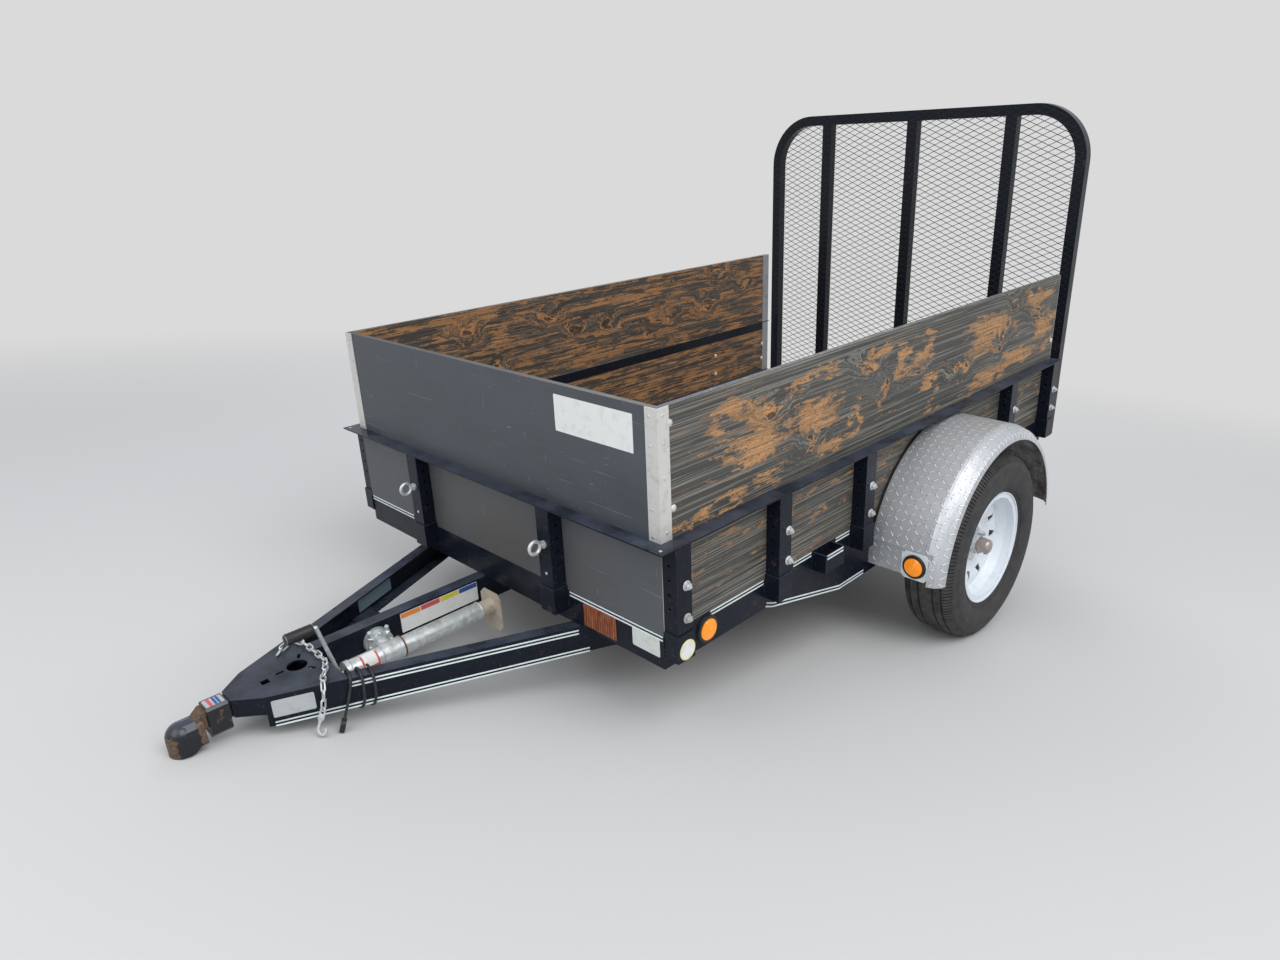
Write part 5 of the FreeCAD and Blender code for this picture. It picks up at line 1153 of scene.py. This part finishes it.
class TRAILER_OT_labels(bpy.types.Operator):
    """Places the blank labels and the blank round sticker"""
    bl_idname = "trailer.labels"
    bl_label = "Labels"

    def execute(self, context):
        for name, face, low, high, corner, lift, finish in LABELS:
            piece = begin(name)
            plate(FACES[face], low, high, 0.0005, corner, lift)
            settle(piece, "trailer", finish)
        thick = 0.0004
        for name, radius, lift, finish in (
                ("round_sticker_rim", 0.0295, 0.0, "label_cream"), ("round_sticker", 0.0250, thick, "label_white")):
            lathe(name, [(0.0, lift), (radius, lift), (radius, lift + thick), (0.0, lift + thick)], STICKER_PLACE,
                  OUT, 64, "trailer", finish)
        return {"FINISHED"}


class TRAILER_OT_reflector(bpy.types.Operator):
    """Models the ribbed reflector on the front rail"""
    bl_idname = "trailer.reflector"
    bl_label = "Reflector"

    def execute(self, context):
        left, right, bottom, top = 0.452, 0.588, 0.012, 0.084
        thick, rim, groove, ribs = 0.0030, 0.004, 0.0012, 13
        piece = begin("reflector")
        plate(front_face, (left, bottom), (right, top), thick, rim)
        step = (right - left - 2 * rim) / ribs
        for index in range(ribs):
            start = left + rim + index * step
            plate(front_face, (start + groove, bottom + rim), (start + step - groove, top - rim), 0.0022, 0.0006,
                  thick)
        round_edges(piece, 0.0004, 1)
        settle(piece, "trailer", "reflector")
        return {"FINISHED"}


class TRAILER_OT_lamps(bpy.types.Operator):
    """Models the ringed lenses of the marker lamps and the ribbed tail lamps"""
    bl_idname = "trailer.lamps"
    bl_label = "Lamps"

    def execute(self, context):
        lens = begin("marker_lenses")
        rings = []
        for index in range(1, 15):
            radius = 0.0020 * index
            crown = 0.0160 - 0.0062 * (radius / 0.0310) ** 2
            rings.append((radius, crown + (0.0005 if index % 2 else -0.0002)))
        turned([(0.0, 0.0160), *rings, (0.0296, 0.0112), (0.0318, 0.0094), (0.0319, 0.0006), (0.0, 0.0006)],
               ORIGIN, UP, 56)
        fender_plate = level_box("lamp_plates")[1].x
        places = on_both_sides([(-0.170, HALF_WIDTH, 0.051)], OUT)
        places += on_both_sides([(fender_plate, HALF_WIDTH + 0.174, -0.028)], AHEAD)
        piece = settle(copies(lens, places), "trailer", "amber_lens")
        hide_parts("marker_lamps")

        low, high = level_box("tail_lamps")
        piece = begin("tail_lenses")
        rear = rear_face(high.x - 0.0002)
        width, rim, groove, ribs = 0.150, 0.008, 0.0008, 18
        step = (width - 2 * rim) / ribs
        for side in FLIPS:
            left = side * 0.685 - width / 2
            plate(rear, (left, low.z), (left + width, high.z), 0.0050, 0.010)
            plate(rear, (left + 0.003, low.z + 0.003), (left + width - 0.003, high.z - 0.003), 0.0060, 0.008, 0.0050)
            for index in range(ribs):
                start = left + rim + index * step
                plate(rear, (start + groove, low.z + rim), (start + step - groove, high.z - rim), 0.0014, 0.001,
                      0.0110)
        round_edges(piece, 0.0006, 1)
        settle(piece, "trailer", "red_lens")
        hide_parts("tail_lamps")
        return {"FINISHED"}


class TRAILER_OT_jack(bpy.types.Operator):
    """Adds the jack's ribbed grip, beads, rusted weld, blank stickers, gear rivets and locking pin"""
    bl_idname = "trailer.jack"
    bl_label = "Jack"

    def execute(self, context):
        ribs = [(0.0158 if index % 2 else 0.0166, 0.6285 + index * 0.0048) for index in range(15)]
        lathe("crank_grip", [(0.0, 0.6230), (0.0120, 0.6230), (0.0150, 0.6245), *ribs, (0.0160, 0.7000),
                             (0.0140, 0.7030), (0.0, 0.7034)], CRANK_AXIS, AHEAD, 40, "jack", "black_plastic")

        for name, along, radius, thick, finish in (
                ("jack_rear_bead", 0.0995, 0.0287, 0.0016, "galvanised_steel"),
                ("jack_weld", 0.3768, 0.0310, 0.0034, "rusted_weld"),
                ("jack_front_weld", 0.4432, 0.0310, 0.0024, "galvanised_steel"),
                ("jack_cap_bead", 0.5450, 0.0296, 0.0018, "galvanised_steel")):
            lathe(name, ring_profile(along, radius, thick), JACK_AXIS, AHEAD, 48, "jack", finish,
                  closed=True)

        for name, start, reach, radius, first, last, finish in (
                # angles in degrees round the tube
                ("jack_sticker", 0.462, 0.052, 0.0287, -130, -12, "label_red"),
                ("jack_sticker_white", 0.468, 0.040, 0.0290, -88, 0, "label_white")):
            piece = begin(name)
            outer = radius + 0.0004
            swept([(radius, 0.0), (radius, reach), (outer, reach), (outer, 0.0)], JACK_AXIS + Vector((start, 0, 0)),
                  AHEAD, math.radians(first), math.radians(last), 20)
            settle(piece, "jack", finish)

        pin = begin("jack_pin")
        swivel = Vector((0.410, -0.0197, JACK_AXIS.z))
        rivets = 8
        for index in range(rivets):
            angle = math.tau * index / rivets
            spot = swivel + Vector((math.cos(angle), 0, math.sin(angle))) * 0.0345
            turned([(0.0, 0.0), (0.0052, 0.0), (0.0056, 0.0030), (0.0036, 0.0056), (0.0, 0.0060)], spot, OUT, 10)
        for reach, height, radius in ((0.030, 0.020, 0.0065), (-0.026, 0.018, 0.0055)):
            foot = swivel + Vector((reach, -0.004, 0.028))
            turned([(0.0, 0.0), (radius + 0.003, 0.0), (radius + 0.003, 0.004), (radius, 0.006), (radius, height),
                    (radius + 0.0015, height + 0.002), (radius, height + 0.006), (0.0, height + 0.007)],
                   foot, (0.1, 0.25, 1), 16)
        settle(pin, "jack", "galvanised_steel")
        return {"FINISHED"}


def ring_profile(along, radius, thick):
    """A round bead's outline, as (radius, place along the axis)."""
    angles = [math.tau * index / 10 for index in range(10)]
    return [(radius + thick * math.cos(angle), along + thick * math.sin(angle)) for angle in angles]


CHAIN = (
    # x, off the centre line, height: where neighbouring links meet, in millimetres
    (690, -79, 14.9), (672, -99, 14.9), (649, -113, 14.9), (622, -111, 14.9), (613, -85.4, 14.9),
    (611, -58.5, 14.9), (611, -31.5, 14.9), (611, -4.5, 14.9), (611, 22.5, 14.9), (612.8, 49.4, 14.9),
    (621.5, 75, 14.9), (635.5, 98.2, 14.9), (650, 121, 14.9), (664.5, 145.6, 16.6), (674, 162.6, -3.6),
    (677, 158, -32), (681, 156, -58), (689, 152, -83),
)
HOOK_RUN = (16, -5, -42)
HOOK = (
    # along and across the hook, in millimetres
    (-10, -5), (-6, -9), (6, -9), (12, -4), (34, -4), (44, 0), (50, 8), (50, 16), (44, 24), (34, 28), (24, 26),
    (22, 20), (34, 20), (39, 18), (42, 14), (42, 10), (39, 6), (34, 4), (12, 4), (6, 9), (-6, 9), (-10, 5),
)


def laid_along(start, run, roll):
    """A matrix that lays a form drawn along X so that it runs along a direction."""
    run = Vector(run).normalized()
    across = Vector(UP).cross(run).normalized()
    lift = run.cross(across)
    turn = Matrix((run, across, lift)).transposed().to_4x4()
    return Matrix.Translation(start) @ turn @ Matrix.Rotation(math.radians(roll), 4, "X")


class TRAILER_OT_chain(bpy.types.Operator):
    """Models the safety chain from bent links and its hook"""
    bl_idname = "trailer.chain"
    bl_label = "Safety chain"

    def execute(self, context):
        points = [Vector(point) * MM for point in CHAIN]
        thick = 7.2
        bar = 0.00275
        link = begin("chain")
        bpy.ops.mesh.primitive_torus_add(major_segments=24, minor_segments=12, major_radius=0.010 - bar,
                                         minor_radius=bar)
        for end in FLIPS:
            choose(link, "VERT", lambda place: place.x * end > 0.0001)
            bpy.ops.transform.translate(value=(end * 0.0085, 0, 0))
        places = []
        for index, (start, end) in enumerate(zip(points, points[1:])):
            places.append(laid_along((start + end) / 2, end - start, 45 if index % 2 else -45))
        chain = copies(link, places)

        hook = begin("chain_hook")
        outline([Vector((along, across, -thick / 2)) * MM for along, across in HOOK], 0.0015, 2)
        thicken((0, 0, thick * MM))
        round_edges(hook, 0.0022, 3)
        hook = copies(hook, [laid_along(points[-1], HOOK_RUN, -45)])
        pick(hook)
        chain.select_set(True)
        bpy.context.view_layer.objects.active = chain
        bpy.ops.object.join()
        settle(chain, "trailer", "galvanised_steel", 60)
        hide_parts("safety_chain")
        return {"FINISHED"}


LEAD = (
    # x, off the near leg's outer face, height, in millimetres
    (20, -22, -74), (120, -27, -79), (228, -21, -76), (335, -27, -79), (440, -23, -70), (512, -50, -48),
    (540, -53, 12), (547, 12, 12), (553, 12, -102), (560, -52, -102), (566, -53, 12), (574, 12, 13),
    (581, 12, -102), (587, -52, -102), (590, -53, 13), (602, 20, 20), (619, 18, -54), (636, 15, -112),
)


class TRAILER_OT_lead(bpy.types.Operator):
    """Lays the wiring lead along the near leg, round it and down to its plug"""
    bl_idname = "trailer.lead"
    bl_label = "Wiring lead"

    def execute(self, context):
        deselect()
        curve = bpy.data.curves.new("lead", "CURVE")
        curve.dimensions = "3D"
        spline = curve.splines.new("NURBS")
        spline.points.add(len(LEAD) - 1)
        places = []
        for point, (x, off, z) in zip(spline.points, LEAD):
            y = LEG_SPREAD / MM - x * math.tan(LEG_TURN) + off / math.cos(LEG_TURN)
            places.append(STANCE @ (Vector((x, y, z)) * MM))
            point.co = (*places[-1], 1.0)
        spline.order_u = 3
        spline.use_endpoint_u = True
        spline.resolution_u = 10
        curve.bevel_depth = 0.004
        curve.bevel_resolution = 3
        curve.use_fill_caps = True
        curve.materials.append(MATERIALS["lead_jacket"])
        lead = bpy.data.objects.new("lead", curve)
        context.scene.collection.objects.link(lead)
        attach(lead, "trailer")
        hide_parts("wiring_lead")
        return {"FINISHED"}


class TRAILER_OT_welds(bpy.types.Operator):
    """Adds the weld beads of the pockets and the tongue, and the dark seams of the fenders"""
    bl_idname = "trailer.welds"
    bl_label = "Welds"

    def execute(self, context):
        bead = begin("welds")
        ripples, reach, proud = 18, 0.05, 0.0005
        ripple = [(0.0030 if index % 2 else 0.0022, reach * (index + 0.5) / ripples) for index in range(ripples)]
        turned([(0.0, 0.0), *ripple, (0.0, reach)], ORIGIN, UP, 8)
        spots = []
        for side in FLIPS:
            for x, half in ((-0.031, 0.033), (-0.465, 0.033), (-0.922, 0.033), (-1.990, 0.033), (-2.400, 0.033),
                            (-0.725, 0.052)):
                spots += [(x + end * half, side * (HALF_WIDTH + proud)) for end in (-1, 1)]
            spots += [(proud, side * FRONT_UPRIGHT + end * 0.033) for end in (-1, 1)]
        runs = [((x, y, 0.040), (x, y, 0.100)) for x, y in spots]
        for side in FLIPS:
            leg = leg_place(side)
            runs.append((leg @ Vector((0.002, -side * 0.036, 0.001)), leg @ Vector((0.002, side * 0.001, 0.001))))
            skirt = leg @ Vector((0.662, side * 0.0048, 0.0))
            runs.append((skirt + Vector((0, 0, -0.070)), skirt + Vector((0, 0, -0.004))))
        runs.append(((0.0015, -0.094, 0.001), (0.0015, -0.052, 0.001)))
        places = []
        for start, end in runs:
            run = Vector(end) - Vector(start)
            places.append(facing(start, run) @ Matrix.Diagonal((1, 1, run.length / reach, 1)))
        settle(copies(bead, places), "trailer", "painted_steel", 60)

        for name, side in SIDES:
            seam = begin(f"fender_seam_{name}")
            near, far = side * (HALF_WIDTH + 0.0004), side * (HALF_WIDTH + 0.0100)
            inner = FENDER_RADIUS + 0.0004
            swept([(inner, near), (inner, far), (inner + 0.0016, far), (inner + 0.0018, near)],
                  (WHEEL.x, 0, WHEEL.z), OUT, math.radians(-83.5), math.radians(73.5), 90)
            settle(seam, "trailer", "black_plastic")
        return {"FINISHED"}


class TRAILER_PT_pieces(bpy.types.Panel):
    """Lists the trailer's pieces and settings"""
    bl_label = "Utility trailer"
    bl_idname = "TRAILER_PT_pieces"
    bl_space_type = "VIEW_3D"
    bl_region_type = "UI"
    bl_category = "Trailer"

    def draw(self, context):
        scene = context.scene
        for settings in (scene.trailer_paint, scene.trailer_tyres, scene.trailer_fastenings, scene.trailer_marks):
            box = self.layout.box()
            for key in settings.__annotations__:
                box.prop(settings, key)
        for operator in OPERATORS:
            self.layout.operator(operator.bl_idname)


OPERATORS = (
    TRAILER_OT_stage, TRAILER_OT_finishes, TRAILER_OT_tyres, TRAILER_OT_wheel_nuts, TRAILER_OT_bolts,
    TRAILER_OT_screws, TRAILER_OT_stripes, TRAILER_OT_labels, TRAILER_OT_reflector, TRAILER_OT_lamps,
    TRAILER_OT_jack, TRAILER_OT_chain, TRAILER_OT_lead, TRAILER_OT_welds,
)
SETTINGS = (
    ("trailer_paint", TrailerPaint),
    ("trailer_tyres", TrailerTyres),
    ("trailer_fastenings", TrailerFastenings),
    ("trailer_marks", TrailerMarks),
)


def register():
    for name, settings in SETTINGS:
        bpy.utils.register_class(settings)
        setattr(bpy.types.Scene, name, bpy.props.PointerProperty(type=settings))
    for kind in (*OPERATORS, TRAILER_PT_pieces):
        bpy.utils.register_class(kind)


def unregister():
    for kind in reversed((*OPERATORS, TRAILER_PT_pieces)):
        bpy.utils.unregister_class(kind)
    for name, settings in reversed(SETTINGS):
        delattr(bpy.types.Scene, name)
        bpy.utils.unregister_class(settings)


def main():
    register()
    for operator in OPERATORS:
        group, name = operator.bl_idname.split(".")
        getattr(getattr(bpy.ops, group), name)()


if __name__ == "__main__":
    main()
